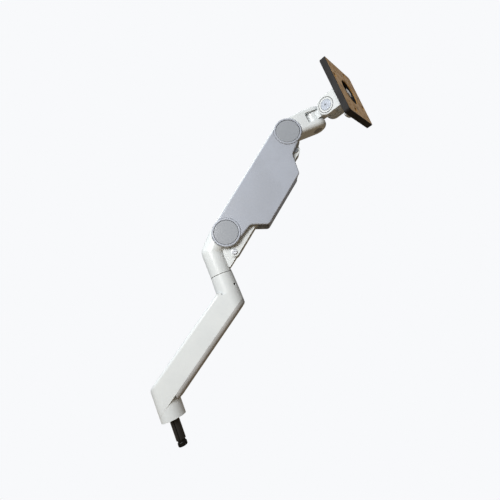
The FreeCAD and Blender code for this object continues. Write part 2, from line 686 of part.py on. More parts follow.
def addWeb(body):
    # The lug that carries the parallel link's lower pin, and the boss for the strut's pin.
    sketch = sketchOn(body, "XZ_Plane")
    loop(sketch, [
        ("dims.webRootX", "dims.webHeelZ"), ("dims.webHeelX", "dims.webHeelZ"),
        ("dims.webTipX", "dims.webTipZ", "dims.webBoss"), ("dims.webTopX", "dims.webTopZ"),
        ("dims.webRootX", "dims.webTopZ"),
    ])
    pad(body, sketch, "2 * dims.webHalf", both=True)
    sketch = sketchOn(body, "XZ_Plane")
    x, z = camPoint()
    ring(sketch, x, z, "dims.camBoss")
    pad(body, sketch, "2 * dims.webHalf", both=True)


def camPoint():
    x = "dims.mainPivotX + dims.camRadius * cos(dims.camAngle * 1 deg)"
    z = "dims.mainPivotZ + dims.camRadius * sin(dims.camAngle * 1 deg)"
    return x, z


def trimSides(body, x, z):
    # Clears both sides around a pivot for the lifting arm's round ends.
    for back in (False, True):
        offset = "-dims.hubHalf" if back else "dims.hubHalf"
        sketch = sketchOn(body, "XZ_Plane", offset)
        ring(sketch, x, z, "dims.ringClear")
        cut(body, sketch, "20", back=not back)


def boreLowerBracket(body, base):
    sketch = sketchOn(body, "XY_Plane", base)
    ring(sketch, "dims.linkReach", "0", "dims.stemRadius + dims.fitGap")
    cut(body, sketch, "dims.stemRise + 0.5", back=True)
    x, z = camPoint()
    linkX = "dims.mainPivotX + dims.linkDropX"
    linkZ = "dims.mainPivotZ + dims.linkDropZ"
    pins = (("dims.mainPivotX", "dims.mainPivotZ", "dims.mainPinRadius"),
            (x, z, "dims.camPinRadius"), (linkX, linkZ, "dims.linkPinRadius"))
    for pinX, pinZ, radius in pins:
        sketch = sketchOn(body, "XZ_Plane")
        ring(sketch, pinX, pinZ, radius + " + dims.fitGap")
        cut(body, sketch, "60", both=True)
    sketch = sketchOn(body, "XZ_Plane")
    px = "dims.mainPivotX"
    pz = "dims.mainPivotZ"
    loop(sketch, [
        (px + " - dims.camSlotBack", pz + " - dims.camSlotDrop", "3"),
        (px + " + dims.camSlotFront", pz + " - dims.camSlotDrop"),
        (px + " + dims.camSlotFront", pz + " + dims.camSlotTop"),
        (px + " + dims.camSlotStep", pz + " + dims.camSlotTop"),
        (px + " + dims.camSlotStep", pz), (px + " - dims.camSlotBack", pz),
    ])
    cut(body, sketch, "2 * dims.camSlotHalf", both=True)


def buildBracketPins():
    main = placed(dim("mainPivotX"), 0, dim("mainPivotZ"))
    straightPin("lower_pivot_pin", main, "dims.mainPinRadius", "dims.mainPinHalf")
    x, z = camPoint()
    cam = placed(measure(x), 0, measure(z))
    straightPin("strut_cam_pin", cam, "dims.camPinRadius", "dims.webHalf - 0.3")
    linkPin("parallel_link_lower_pin", linkFrame())


def straightPin(label, frame, radius, half):
    # A pin along Y with eased ends.
    body = newBody(label, frame)
    sketch = sketchOn(body, "XY_Plane")
    low = "-(%s)" % half
    loop(sketch, [("0", low), (radius, low, "0.6"), (radius, half, "0.6"), ("0", half)])
    turned(body, sketch, True, "V_Axis")
    return body


def linkPin(label, frame):
    # A pin along Y through the parallel link, with a head at both ends.
    body = newBody(label, placed(frame.Base.x, 0, frame.Base.z))
    sketch = sketchOn(body, "XY_Plane")
    end = "dims.linkPinHalf + dims.linkPinHeadThick"
    loop(sketch, [
        ("0", "-(%s)" % end), ("dims.linkPinHead", "-(%s)" % end, "0.5"),
        ("dims.linkPinHead", "-dims.linkPinHalf"), ("dims.linkPinRadius", "-dims.linkPinHalf"),
        ("dims.linkPinRadius", "dims.linkPinHalf"), ("dims.linkPinHead", "dims.linkPinHalf"),
        ("dims.linkPinHead", end, "0.5"), ("0", end),
    ])
    turned(body, sketch, True, "V_Axis")
    return body


# ---------------------------------------------------------------- lifting arm


def buildArmShell():
    # The white channel of the lifting arm, open below and at both ends.
    body = newBody("lifting_arm_shell", armFrame())
    sketch = sketchOn(body, "XZ_Plane")
    end = "dims.shellEnd"
    high = "dims.shellTop"
    loop(sketch, [
        ("-" + end, "-dims.shellSkirt", "24"), ("dims.armLength + " + end, "-dims.shellSkirt", "24"),
        ("dims.armLength + " + end, end, "28"), ("dims.armLength - 26", high, "20"),
        ("26", high, "20"), ("-" + end, end, "28"),
    ])
    pad(body, sketch, "2 * dims.shellHalf", both=True)
    sketch = sketchOn(body, "XZ_Plane")
    box(sketch, "-60", "-60", "dims.armLength + 60", "dims.shellTop - dims.shellWall")
    cut(body, sketch, "2 * dims.shellInner", both=True)
    for x0, x1 in (("-60", "dims.shellMouth"), ("dims.armLength - dims.shellMouth", "dims.armLength + 60")):
        sketch = sketchOn(body, "XZ_Plane")
        box(sketch, x0, "-60", x1, "60")
        cut(body, sketch, "2 * dims.shellInner", both=True)
    soften(body, "dims.shellSoft", topShellEdge)
    boreArmShell(body)


def topShellEdge(edge):
    # The long outer edges of the channel's top.
    level = dim("shellTop")
    half = dim("shellHalf")
    middle = edge.valueAt((edge.FirstParameter + edge.LastParameter) / 2)
    return abs(middle.z - level) < 1e-3 and abs(abs(middle.y) - half) < 1e-3 and edge.Length > 60


def boreArmShell(body):
    holes = (("0", "0", "dims.pivotBushing + dims.fitGap"),
             ("dims.armLength", "0", "dims.pivotBushing + dims.fitGap"),
             ("dims.anchorPinX", "-dims.strutDrop", "dims.anchorPinRadius + dims.fitGap"))
    for x, z, radius in holes:
        sketch = sketchOn(body, "XZ_Plane")
        ring(sketch, x, z, radius)
        cut(body, sketch, "60", both=True)


def buildSideCovers():
    # The grey side covers with their deep belly and the floor that closes it from each side.
    for label, side in (("side_cover_near", -1), ("side_cover_far", 1)):
        body = newBody(label, armFrame())
        near = side < 0
        sketch = sketchOn(body, "XZ_Plane", "dims.shellHalf" if near else "-dims.shellHalf")
        coverOutline(sketch)
        pad(body, sketch, "dims.coverThick", back=not near)
        soften(body, "dims.coverSoft", outerCoverEdge)
        for x in ("0", "dims.armLength"):
            sketch = sketchOn(body, "XZ_Plane")
            ring(sketch, x, "0", "dims.coverRing")
            cut(body, sketch, "80", both=True)
        sketch = sketchOn(body, "XZ_Plane", "dims.floorGap" if near else "-dims.floorGap")
        box(sketch, "dims.bellyStart + dims.floorInset", "-dims.coverBottom + dims.floorLift",
            "dims.bellyEnd - dims.floorInset", "-dims.coverBottom + dims.floorLift + dims.floorThick")
        pad(body, sketch, "dims.shellHalf + 1 - dims.floorGap", back=not near)


def coverOutline(sketch):
    loop(sketch, [
        ("0", "-dims.coverWaistLow"),
        ("dims.waistRearX", "-dims.waistRearZ", "dims.waistRound"),
        ("dims.bellyStart", "-dims.coverBottom", "dims.bellyRound"),
        ("dims.bellyEnd", "-dims.coverBottom", "dims.bellyRound"),
        ("dims.waistFrontX", "-dims.waistFrontZ", "dims.waistRound"),
        ("dims.armLength", "-dims.coverWaistLow"), ("dims.armLength", "dims.coverTop"),
        ("0", "dims.coverTop"),
    ])


def outerCoverEdge(edge):
    # Every edge around the cover's outer face.
    level = dim("shellHalf") + dim("coverThick")
    return all(abs(abs(v.Point.y) - level) < 1e-3 for v in edge.Vertexes)


def buildPivotTrim():
    # Grey rings and round caps over the lifting arm's four pivot ends.
    both = (("0", "0"), ("dims.armLength", "0"))
    low = "dims.shellHalf"
    high = "dims.shellHalf + dims.ringProud"
    soft = "dims.ringSoft"
    eachSide("pivot_rings", armFrame(), [
        ("dims.ringInner", low), ("dims.ringOuter", low), ("dims.ringOuter", high + " - " + soft),
        ("dims.ringOuter - " + soft, high), ("dims.ringInner", high)], both)
    base = "dims.shellHalf + dims.capSeat"
    face = base + " + dims.capThick"
    soft = "dims.capSoft"
    ends = (("lower_pivot_", ("0", "0")), ("upper_pivot_", ("dims.armLength", "0")))
    for label, centre in ends:
        eachSide(label + "caps", armFrame(), [
            ("0", base), ("dims.capRadius", base), ("dims.capRadius", face + " - " + soft),
            ("dims.capRadius - " + soft, face), ("0", face)], (centre,))
    bore = "dims.mainPinRadius + dims.runGap"
    for label, centre in ends:
        eachSide(label + "bushings", armFrame(), [
            (bore, "dims.shellInner"), ("dims.pivotBushing", "dims.shellInner"),
            ("dims.pivotBushing", "dims.shellHalf"), (bore, "dims.shellHalf")], (centre,))


def buildStrut():
    # The balance strut: a closed cylinder pinned to the adjusting block, and its rod.
    body = newBody("balance_cylinder", armFrame())
    drop = "-dims.strutDrop"
    sketch = sketchOn(body, "XY_Plane", drop)
    start = "dims.strutStart"
    end = "dims.strutEnd"
    loop(sketch, [
        (start, "dims.rodRadius + dims.runGap"), (start, "dims.strutRadius", "1"),
        (end, "dims.strutRadius", "1"), (end, "0"), (end + " - dims.strutCapThick", "0"),
        (end + " - dims.strutCapThick", "dims.strutBore"),
        (start + " + dims.strutCapThick", "dims.strutBore"),
        (start + " + dims.strutCapThick", "dims.rodRadius + dims.runGap"),
    ])
    turned(body, sketch, True, "H_Axis")
    sketch = sketchOn(body, "XZ_Plane")
    box(sketch, end + " - 1", drop + " - dims.eyeHigh",
        "dims.anchorPinX + 6.5", drop + " + dims.eyeHigh", "3")
    pad(body, sketch, "2 * dims.eyeHalf", both=True)
    sketch = sketchOn(body, "XZ_Plane")
    ring(sketch, "dims.anchorPinX", drop, "dims.anchorPinRadius + dims.fitGap")
    cut(body, sketch, "60", both=True)


def buildStrutRod():
    # The polished rod, its piston and the slotted yoke that rides on the cam pin.
    body = newBody("balance_rod", armFrame())
    drop = "-dims.strutDrop"
    sketch = sketchOn(body, "XY_Plane", drop)
    start = "dims.yokeCentre + dims.yokeHalf - 1"
    piston = "dims.pistonStart"
    loop(sketch, [
        (start, "0"), (start, "dims.rodRadius"), (piston, "dims.rodRadius"),
        (piston, "dims.pistonRadius - 0.03"), (piston + " + dims.pistonLength", "dims.pistonRadius - 0.03"),
        (piston + " + dims.pistonLength", "0"),
    ])
    turned(body, sketch, True, "H_Axis")
    sketch = sketchOn(body, "XZ_Plane")
    box(sketch, "dims.yokeCentre - dims.yokeHalf", "-dims.yokeBottom",
        "dims.yokeCentre + dims.yokeHalf", "-dims.yokeTop", "3")
    pad(body, sketch, "2 * dims.yokeThick", both=True)
    sketch = sketchOn(body, "XZ_Plane")
    box(sketch, "dims.yokeCentre - dims.yokeSlotHalf", "-dims.yokeSlotBottom",
        "dims.yokeCentre + dims.yokeSlotHalf", "-dims.yokeSlotTop", "4")
    cut(body, sketch, "60", both=True)


def buildAdjuster():
    # The sliding block, its pin, the bridge plate and the tension screw.
    drop = "-dims.strutDrop"
    body = newBody("adjusting_block", armFrame())
    sketch = sketchOn(body, "XZ_Plane")
    box(sketch, "dims.blockStart", drop + " - dims.blockHigh",
        "dims.blockEnd", drop + " + dims.blockHigh", "1.5")
    pad(body, sketch, "2 * dims.blockHalf", both=True)
    sketch = sketchOn(body, "XZ_Plane")
    box(sketch, "dims.blockStart - 5", "-60", "dims.anchorPinX + 7", "0")
    cut(body, sketch, "2 * dims.eyeHalf + 0.4", both=True)
    sketch = sketchOn(body, "XZ_Plane")
    ring(sketch, "dims.anchorPinX", drop, "dims.anchorPinRadius + dims.fitGap")
    cut(body, sketch, "60", both=True)
    straightPin("strut_anchor_pin", armFrame() * placed(dim("anchorPinX"), 0, -dim("strutDrop")),
                "dims.anchorPinRadius", "dims.shellHalf - 0.4")
    body = newBody("tension_bridge", armFrame())
    sketch = sketchOn(body, "XZ_Plane")
    box(sketch, "dims.bridgeStart", "-dims.bridgeLow",
        "dims.bridgeStart + dims.bridgeThick", "dims.bridgeHigh")
    pad(body, sketch, "2 * dims.shellInner - 0.1", both=True)
    sketch = sketchOn(body, "YZ_Plane", "dims.bridgeStart")
    ring(sketch, "0", drop, "dims.screwRadius + 0.3")
    cut(body, sketch, "dims.bridgeThick + 1", back=True)
    sketch = sketchOn(body, "YZ_Plane", "dims.bridgeStart")
    box(sketch, "9.5", "-60", "40", "-dims.bridgeLow + 13")
    box(sketch, "-40", "-60", "-9.5", "-dims.bridgeLow + 13")
    cut(body, sketch, "dims.bridgeThick + 1", back=True)
    body = newBody("tension_screw", armFrame() * placed(0, 0, -dim("strutDrop")))
    sketch = sketchOn(body, "XY_Plane")
    face = "dims.bridgeStart + dims.bridgeThick + 0.2"
    loop(sketch, [
        ("dims.screwTip", "0"), ("dims.screwTip", "dims.screwRadius"), (face, "dims.screwRadius"),
        (face, "dims.screwHead"), (face + " + dims.screwHeadLong", "dims.screwHead", "0.8"),
        (face + " + dims.screwHeadLong", "0"),
    ])
    turned(body, sketch, True, "H_Axis")
    sketch = sketchOn(body, "YZ_Plane", face + " + dims.screwHeadLong")
    hexagon(sketch, "dims.screwSocket")
    cut(body, sketch, "4")


def hexagon(sketch, reach):
    # A regular hexagon about the sketch's origin, from its centre to a flat.
    corner = reach + " / cos(30 deg)"
    points = []
    for i in range(6):
        points.append(("(%s) * cos(%d deg)" % (corner, 60 * i), "(%s) * sin(%d deg)" % (corner, 60 * i)))
    loop(sketch, points)


# ---------------------------------------------------------------- parallel link


def buildParallelLink():
    # A channel with round ends that keeps the neck level.
    body = newBody("parallel_link", linkFrame())
    sketch = sketchOn(body, "XZ_Plane")
    half = "dims.linkHalf"
    endRound = "dims.linkHalf - 0.1"
    box(sketch, "-" + half, "-" + half, "dims.armLength + " + half, half, endRound)
    pad(body, sketch, "2 * dims.linkOuter", both=True)
    sketch = sketchOn(body, "XZ_Plane")
    low = "-%s + 3" % half
    loop(sketch, [
        ("-40", "-40"), ("dims.linkFloorInset", "-40"), ("dims.linkFloorInset", low),
        ("dims.armLength - dims.linkFloorInset", low), ("dims.armLength - dims.linkFloorInset", "-40"),
        ("dims.armLength + 40", "-40"), ("dims.armLength + 40", "40"), ("-40", "40"),
    ])
    cut(body, sketch, "2 * dims.linkInner", both=True)
    for x, radius in (("0", "dims.linkPinRadius + dims.runGap"), ("dims.armLength", "dims.openPivotBore")):
        sketch = sketchOn(body, "XZ_Plane")
        ring(sketch, x, "0", radius)
        cut(body, sketch, "60", both=True)


def buildLinkSpacers():
    # Thin spacers between the parallel link and the lugs it is pinned to.
    inner = "dims.linkPinRadius + dims.runGap"
    start = "dims.webHalf + 0.05"
    corners = [(inner, start), ("dims.spacerRadius", start),
               ("dims.spacerRadius", start + " + dims.spacerThick"), (inner, start + " + dims.spacerThick")]
    frame = linkFrame()
    eachSide("parallel_link_lower_spacers", placed(frame.Base.x, 0, frame.Base.z), corners)
    neck = neckFrame()
    place = placed(neck.Base.x + dim("linkDropX"), 0, neck.Base.z + dim("linkDropZ"))
    eachSide("parallel_link_upper_spacers", place, corners)


# ---------------------------------------------------------------- neck bracket


def buildNeck():
    body = newBody("neck_bracket_casting", neckFrame())
    nose = "dims.swivelX + dims.neckRadius"
    sketch = sketchOn(body, "XZ_Plane")
    loop(sketch, [
        ("dims.neckRear", "dims.neckBottom"), (nose, "dims.neckBottom"),
        (nose, "dims.neckTop"), ("dims.swivelX - 20", "dims.neckTop", "40"),
        ("dims.neckRear", "dims.neckRearTop"),
    ])
    pad(body, sketch, "2 * dims.neckRadius", both=True)
    trimToPlan(body, "-60", "dims.neckRadius - 0.5", "dims.swivelX", "dims.neckRadius")
    soften(body, "dims.neckChin", lowNeckEdge)
    soften(body, "dims.neckBrow", highNeckEdge)
    sketch = sketchOn(body, "XZ_Plane")
    loop(sketch, [
        ("0", "dims.neckBottom + 1", "2"), ("dims.neckRear + 16", "dims.neckBottom + 1"),
        ("dims.neckRear + 16", "dims.neckRearTop - 2"), ("6", "dims.neckRearTop - 5", "16"),
        ("0", "12", "3"),
    ])
    pad(body, sketch, "2 * dims.hubHalf", both=True)
    sketch = sketchOn(body, "XZ_Plane")
    ring(sketch, "0", "0", "dims.hubRadius")
    pad(body, sketch, "2 * dims.hubHalf", both=True)
    sketch = sketchOn(body, "XZ_Plane")
    left = "dims.linkDropX - dims.webBoss"
    right = "dims.linkDropX + dims.webBoss"
    low = "dims.linkDropZ - dims.webBoss"
    loop(sketch, [
        (left, low, "dims.webBoss - 0.1"), (right, low, "dims.webBoss - 0.1"),
        (right + " + 7", "dims.neckBottom"), (right + " + 7", "0"), (left, "0"),
    ])
    pad(body, sketch, "2 * dims.webHalf", both=True)
    trimSides(body, "0", "0")
    openFork(body)
    pins = (("0", "0", "dims.mainPinRadius"), ("dims.linkDropX", "dims.linkDropZ", "dims.linkPinRadius"))
    for x, z, radius in pins:
        sketch = sketchOn(body, "XZ_Plane")
        ring(sketch, x, z, radius + " + dims.fitGap")
        cut(body, sketch, "60", both=True)


def lowNeckEdge(edge):
    # The edges along the bracket's underside, round the nose.
    level = dim("neckBottom")
    flat = all(abs(v.Point.z - level) < 1e-3 for v in edge.Vertexes)
    middle = edge.valueAt((edge.FirstParameter + edge.LastParameter) / 2)
    return flat and middle.x > dim("neckRear") + 1


def highNeckEdge(edge):
    # The edges along the flat part of the bracket's top, round the nose.
    level = dim("neckTop")
    flat = all(abs(v.Point.z - level) < 1e-3 for v in edge.Vertexes)
    middle = edge.valueAt((edge.FirstParameter + edge.LastParameter) / 2)
    return flat and middle.x > dim("neckRear") + 1 and abs(middle.y) > 1 or \
        flat and middle.x > dim("swivelX") + 1


def openFork(body):
    # The fork's gap, the bores for the swivel pin and its bushings, and the head recesses.
    sketch = sketchOn(body, "XZ_Plane")
    box(sketch, "dims.forkBack", "dims.forkBottom", "dims.swivelX + dims.forkWidth", "dims.forkTop")
    cut(body, sketch, "80", both=True)
    sketch = sketchOn(body, "XY_Plane")
    ring(sketch, "dims.swivelX", "0", "dims.swivelPinRadius + dims.runGap")
    cut(body, sketch, "200", both=True)
    levels = (("dims.forkTop", True), ("dims.forkBottom", False))
    for level, up in levels:
        sketch = sketchOn(body, "XY_Plane", level)
        ring(sketch, "dims.swivelX", "0", "dims.swivelBushing + dims.fitGap")
        cut(body, sketch, "dims.swivelBushingLong", back=up)
    sketch = sketchOn(body, "XY_Plane", "dims.neckTop")
    ring(sketch, "dims.swivelX", "0", "dims.swivelPinHead + 0.3")
    cut(body, sketch, "dims.swivelSink")
    sketch = sketchOn(body, "XY_Plane", "dims.neckBottom")
    ring(sketch, "dims.swivelX", "0", "dims.swivelPinHead + 0.3")
    cut(body, sketch, "dims.swivelSink", back=True)


def buildNeckPins():
    neck = neckFrame()
    straightPin("upper_pivot_pin", neck, "dims.mainPinRadius", "dims.mainPinHalf")
    linkPin("parallel_link_upper_pin", neck * placed(dim("linkDropX"), 0, dim("linkDropZ")))
    upright = neck * placed(dim("swivelX"))
    low = "dims.neckBottom + dims.swivelSink - dims.swivelPinHeadThick"
    high = "dims.neckTop - dims.swivelSink + dims.swivelPinHeadThick"
    drum("swivel_pin", headFrame(), [
        ("0", low), ("dims.swivelPinHead", low, "0.6"),
        ("dims.swivelPinHead", low + " + dims.swivelPinHeadThick - 0.1"),
        ("dims.swivelPinRadius", low + " + dims.swivelPinHeadThick - 0.1"),
        ("dims.swivelPinRadius", high + " - dims.swivelPinHeadThick + 0.1"),
        ("dims.swivelPinHead", high + " - dims.swivelPinHeadThick + 0.1"),
        ("dims.swivelPinHead", high, "0.6"), ("0", high),
    ])
    inner = dim("swivelPinRadius") + dim("runGap")
    outer = dim("swivelBushing")
    long = dim("swivelBushingLong") - 0.1
    solids = []
    for level in (dim("forkTop") + 0.05, dim("forkBottom") - long - 0.05):
        whole = Part.makeCylinder(outer, long, FreeCAD.Vector(0, 0, level))
        solids.append(whole.cut(Part.makeCylinder(inner, long, FreeCAD.Vector(0, 0, level))))
    gathered("swivel_bushings", upright, solids)
    thick = dim("barrelGap") - 0.1
    solids = []
    for level in (dim("forkTop") - thick - 0.05, dim("forkBottom") + 0.05):
        whole = Part.makeCylinder(dim("barrelRadius") - 1.5, thick, FreeCAD.Vector(0, 0, level))
        solids.append(whole.cut(Part.makeCylinder(inner, thick, FreeCAD.Vector(0, 0, level))))
    gathered("swivel_friction_washers", upright, solids)


# ---------------------------------------------------------------- swivel knuckle


def buildKnuckle():
    body = newBody("swivel_knuckle", headFrame())
    low = "dims.forkBottom + dims.barrelGap"
    sketch = sketchOn(body, "XY_Plane", low)
    ring(sketch, "0", "0", "dims.barrelRadius")
    pad(body, sketch, "dims.forkTop - dims.forkBottom - 2 * dims.barrelGap")
    sketch = sketchOn(body, "XZ_Plane")
    box(sketch, "0", "dims.tiltHeight - dims.knuckleArmHigh",
        "dims.tiltReach", "dims.tiltHeight + dims.knuckleArmHigh")
    pad(body, sketch, "2 * dims.knuckleHalf", both=True)
    sketch = sketchOn(body, "XZ_Plane")
    ring(sketch, "dims.tiltReach", "dims.tiltHeight", "dims.tiltBarrel")
    pad(body, sketch, "2 * dims.tiltBarrelHalf", both=True)
    sketch = sketchOn(body, "XY_Plane")
    ring(sketch, "0", "0", "dims.swivelPinRadius + dims.fitGap")
    cut(body, sketch, "200", both=True)
    sketch = sketchOn(body, "XZ_Plane")
    ring(sketch, "dims.tiltReach", "dims.tiltHeight", "dims.tiltPinRadius + 0.3")
    cut(body, sketch, "80", both=True)
    for back in (False, True):
        sketch = sketchOn(body, "XZ_Plane", "-dims.tiltBarrelHalf" if back else "dims.tiltBarrelHalf")
        ring(sketch, "dims.tiltReach", "dims.tiltHeight", "dims.tiltBushing + dims.fitGap")
        cut(body, sketch, "dims.tiltBushingLong", back=back)
    start = "dims.tiltBarrelHalf - dims.tiltBushingLong + 0.05"
    eachSide("tilt_bushings", tiltFrame(), [
        ("dims.tiltPinRadius + dims.runGap", start), ("dims.tiltBushing", start),
        ("dims.tiltBushing", "dims.tiltBarrelHalf"),
        ("dims.tiltPinRadius + dims.runGap", "dims.tiltBarrelHalf")])


# ---------------------------------------------------------------- tilt head


def buildTiltHead():
    body = newBody("tilt_head_casting", tiltFrame())
    sketch = sketchOn(body, "XZ_Plane")
    ring(sketch, "0", "0", "dims.headRadius")
    pad(body, sketch, "2 * dims.headHalf", both=True)
    sketch = sketchOn(body, "XZ_Plane")
    box(sketch, "0", "-dims.headRadius", "dims.headFront", "dims.headRadius")
    pad(body, sketch, "2 * dims.headHalf", both=True)
    sketch = sketchOn(body, "XZ_Plane")
    box(sketch, "-60", "-60", "dims.headBack", "60")
    cut(body, sketch, "2 * dims.headInner", both=True)
    soften(body, "dims.headSoft", outerHeadEdge)
    sketch = sketchOn(body, "XZ_Plane")
    ring(sketch, "0", "0", "dims.tiltPinRadius + dims.fitGap")
    cut(body, sketch, "80", both=True)
    for back in (False, True):
        offset = "-dims.headHalf" if back else "dims.headHalf"
        sketch = sketchOn(body, "XZ_Plane", offset)
        ring(sketch, "0", "0", "dims.tiltCapBore")
        cut(body, sketch, "dims.tiltCapSink", back=back)
        sketch = sketchOn(body, "XZ_Plane", offset)
        ring(sketch, "0", "0", "dims.tiltGrooveInner")
        ring(sketch, "0", "0", "dims.tiltGrooveOuter")
        cut(body, sketch, "dims.tiltGrooveDeep", back=back)
    sketch = sketchOn(body, "YZ_Plane", "dims.headFront")
    ring(sketch, "0", "0", "dims.spindleBushing + dims.fitGap")
    cut(body, sketch, "60")
    buildTiltScrew()


def outerHeadEdge(edge):
    # The edges around the head's two flat sides, apart from the front.
    half = dim("headHalf")
    middle = edge.valueAt((edge.FirstParameter + edge.LastParameter) / 2)
    flat = abs(abs(middle.y) - half) < 1e-3
    return flat and middle.x < dim("headFront") - 1


def buildTiltScrew():
    # The cross screw with its round head on the near side and its round nut on the far side.
    seat = "dims.headHalf - dims.tiltCapSink + 0.05"
    face = "dims.headHalf + dims.tiltCapProud"
    body = newBody("tilt_screw", tiltFrame())
    sketch = sketchOn(body, "XY_Plane")
    loop(sketch, [
        ("0", "-(%s)" % face), ("dims.tiltCapRadius", "-(%s)" % face, "0.8"),
        ("dims.tiltCapRadius", "-(%s)" % seat), ("dims.tiltPinRadius", "-(%s)" % seat),
        ("dims.tiltPinRadius", "dims.headHalf - 1.5"), ("0", "dims.headHalf - 1.5"),
    ])
    turned(body, sketch, True, "V_Axis")
    sketch = sketchOn(body, "XZ_Plane", face)
    hexagon(sketch, "dims.tiltSocket")
    cut(body, sketch, "dims.tiltSocketDeep")
    body = newBody("tilt_nut", tiltFrame())
    sketch = sketchOn(body, "XY_Plane")
    loop(sketch, [
        ("dims.tiltPinRadius + dims.fitGap", seat), ("dims.tiltCapRadius", seat),
        ("dims.tiltCapRadius", face, "0.8"), ("0", face), ("0", "dims.headHalf - 1.4"),
        ("dims.tiltPinRadius + dims.fitGap", "dims.headHalf - 1.4"),
    ])
    turned(body, sketch, True, "V_Axis")


# ---------------------------------------------------------------- turning plate


def plateSquare(sketch, size, corner):
    half = "(%s) / 2" % size
    box(sketch, "-" + half, "-" + half, half, half, corner)


def buildPlateTray():
    body = newBody("plate_tray", plateFrame())
    front = "dims.plateBack + dims.plateThick"
    sketch = sketchOn(body, "YZ_Plane", "dims.plateBack")
    plateSquare(sketch, "dims.plateSize", "dims.plateCorner")
    pad(body, sketch, "dims.plateThick")
    soften(body, "dims.plateSoft", trayEdge)
    sketch = sketchOn(body, "YZ_Plane", front)
    plateSquare(sketch, "dims.plateSize - 2 * dims.faceInset + 0.3", "dims.faceCorner")
    cut(body, sketch, "dims.faceThick")
    sketch = sketchOn(body, "YZ_Plane", front)
    ring(sketch, "0", "0", "dims.recessRadius")
    cut(body, sketch, "dims.recessDeep")
    sketch = sketchOn(body, "YZ_Plane", front)
    ring(sketch, "0", "0", "dims.spindleRadius + dims.fitGap")
    cut(body, sketch, "60")
    holeSets = ((monitorHoles(), "dims.monitorHole"), (largeHoles(), "dims.largeHole"),
                (screwSpots(), "dims.plateScrewRadius + dims.fitGap"))
    for holes, radius in holeSets:
        sketch = sketchOn(body, "YZ_Plane", front)
        for y, z in holes:
            ring(sketch, y, z, radius)
        cut(body, sketch, "60")


def trayEdge(edge):
    # The edges around the tray's front and back.
    front = dim("plateBack") + dim("plateThick")
    levels = (dim("plateBack"), front)
    return any(all(abs(v.Point.x - level) < 1e-3 for v in edge.Vertexes) for level in levels)


def monitorHoles():
    found = []
    for spacing in ("dims.wideSpacing", "dims.closeSpacing"):
        for sy in ("", "-"):
            for sz in ("", "-"):
                found.append((sy + spacing, sz + spacing))
    return found


def largeHoles():
    found = []
    for quarter in range(4):
        turn = "(dims.largeTurn + %d) * 1 deg" % (90 * quarter)
        found.append(("dims.largeReach * cos(%s)" % turn, "dims.largeReach * sin(%s)" % turn))
    return found


def screwSpots():
    # Where small screws hold the face plate to the tray.
    found = []
    for sy, sz in ((0, 1), (1, 0), (0, -1), (-1, 0)):
        found.append(("%d * dims.plateScrewReach" % sy, "%d * dims.plateScrewReach" % sz))
    return found


def buildFacePlate():
    body = newBody("face_plate", plateFrame())
    seat = "dims.plateBack + dims.plateThick - dims.faceThick"
    front = "dims.plateBack + dims.plateThick"
    sketch = sketchOn(body, "YZ_Plane", seat)
    plateSquare(sketch, "dims.plateSize - 2 * dims.faceInset", "dims.faceCorner")
    pad(body, sketch, "dims.faceThick")
    sketch = sketchOn(body, "YZ_Plane", front)
    ring(sketch, "0", "0", "dims.faceHole")
    for y, z in monitorHoles():
        ring(sketch, y, z, "dims.monitorHole")
    for y, z in largeHoles():
        ring(sketch, y, z, "dims.largeHole")
    for y, z in screwSpots():
        ring(sketch, y, z, "dims.plateScrewRadius + dims.fitGap")
    cut(body, sketch, "20")
    sketch = sketchOn(body, "YZ_Plane", front)
    for y, z in screwSpots():
        ring(sketch, y, z, "dims.plateScrewHead + 0.1")
    cut(body, sketch, "dims.plateScrewSink")
    head = dim("plateScrewSink") - 0.15
    screw = screwSolid(dim("plateScrewRadius"), dim("plateScrewHead"), head, 7, 1.1)
    base = dim("plateBack") + dim("plateThick") - dim("plateScrewSink")
    solids = []
    for y, z in screwSpots():
        solids.append(pointed(screw, placed(base, measure(y), measure(z), (0, 1, 0), 90)))
    gathered("face_plate_screws", plateFrame(), solids)


def buildTurntable():
    # The disc behind the plate, the spindle it turns on, and the hub in the plate's recess.
    frame = plateFrame()
    body = newBody("rotation_disc", frame)
    sketch = sketchOn(body, "YZ_Plane", "dims.discStart")
    ring(sketch, "0", "0", "dims.discRadius")
    ring(sketch, "0", "0", "dims.spindleRadius + dims.fitGap")
    pad(body, sketch, "dims.discThick")
    front = "dims.plateBack + dims.plateThick - dims.recessDeep"
    body = newBody("rotation_spindle", frame)
    sketch = sketchOn(body, "XY_Plane")
    tail = "dims.spindleTail"
    tip = front + " + dims.hubPlateThick + dims.hubWasherThick + dims.hubNutThick + 0.8"
    loop(sketch, [
        (tail, "0"), (tail, "dims.spindleRadius + 2", "0.5"), (tail + " + 2.5", "dims.spindleRadius + 2"),
        (tail + " + 2.5", "dims.spindleRadius"), (tip, "dims.spindleRadius", "1"), (tip, "0"),
    ])
    turned(body, sketch, True, "H_Axis")
    for label, inner, outer, start, long in (
            ("spindle_bushing", "dims.spindleRadius + dims.runGap", "dims.spindleBushing",
             tail + " + 2.7", "dims.headFront - dims.spindleTail - 2.7"),
            ("hub_plate", "dims.spindleRadius + dims.fitGap", "dims.hubPlateRadius",
             front, "dims.hubPlateThick"),
            ("hub_washer", "dims.spindleRadius + dims.fitGap", "dims.hubWasherRadius",
             front + " + dims.hubPlateThick", "dims.hubWasherThick")):
        body = newBody(label, frame if label != "spindle_bushing" else tiltFrame())
        sketch = sketchOn(body, "YZ_Plane", start)
        ring(sketch, "0", "0", outer)
        ring(sketch, "0", "0", inner)
        pad(body, sketch, long)
    body = newBody("hub_nut", frame)
    sketch = sketchOn(body, "YZ_Plane", front + " + dims.hubPlateThick + dims.hubWasherThick")
    hexagon(sketch, "dims.hubNutFlats")
    ring(sketch, "0", "0", "dims.spindleRadius + dims.fitGap")
    pad(body, sketch, "dims.hubNutThick")


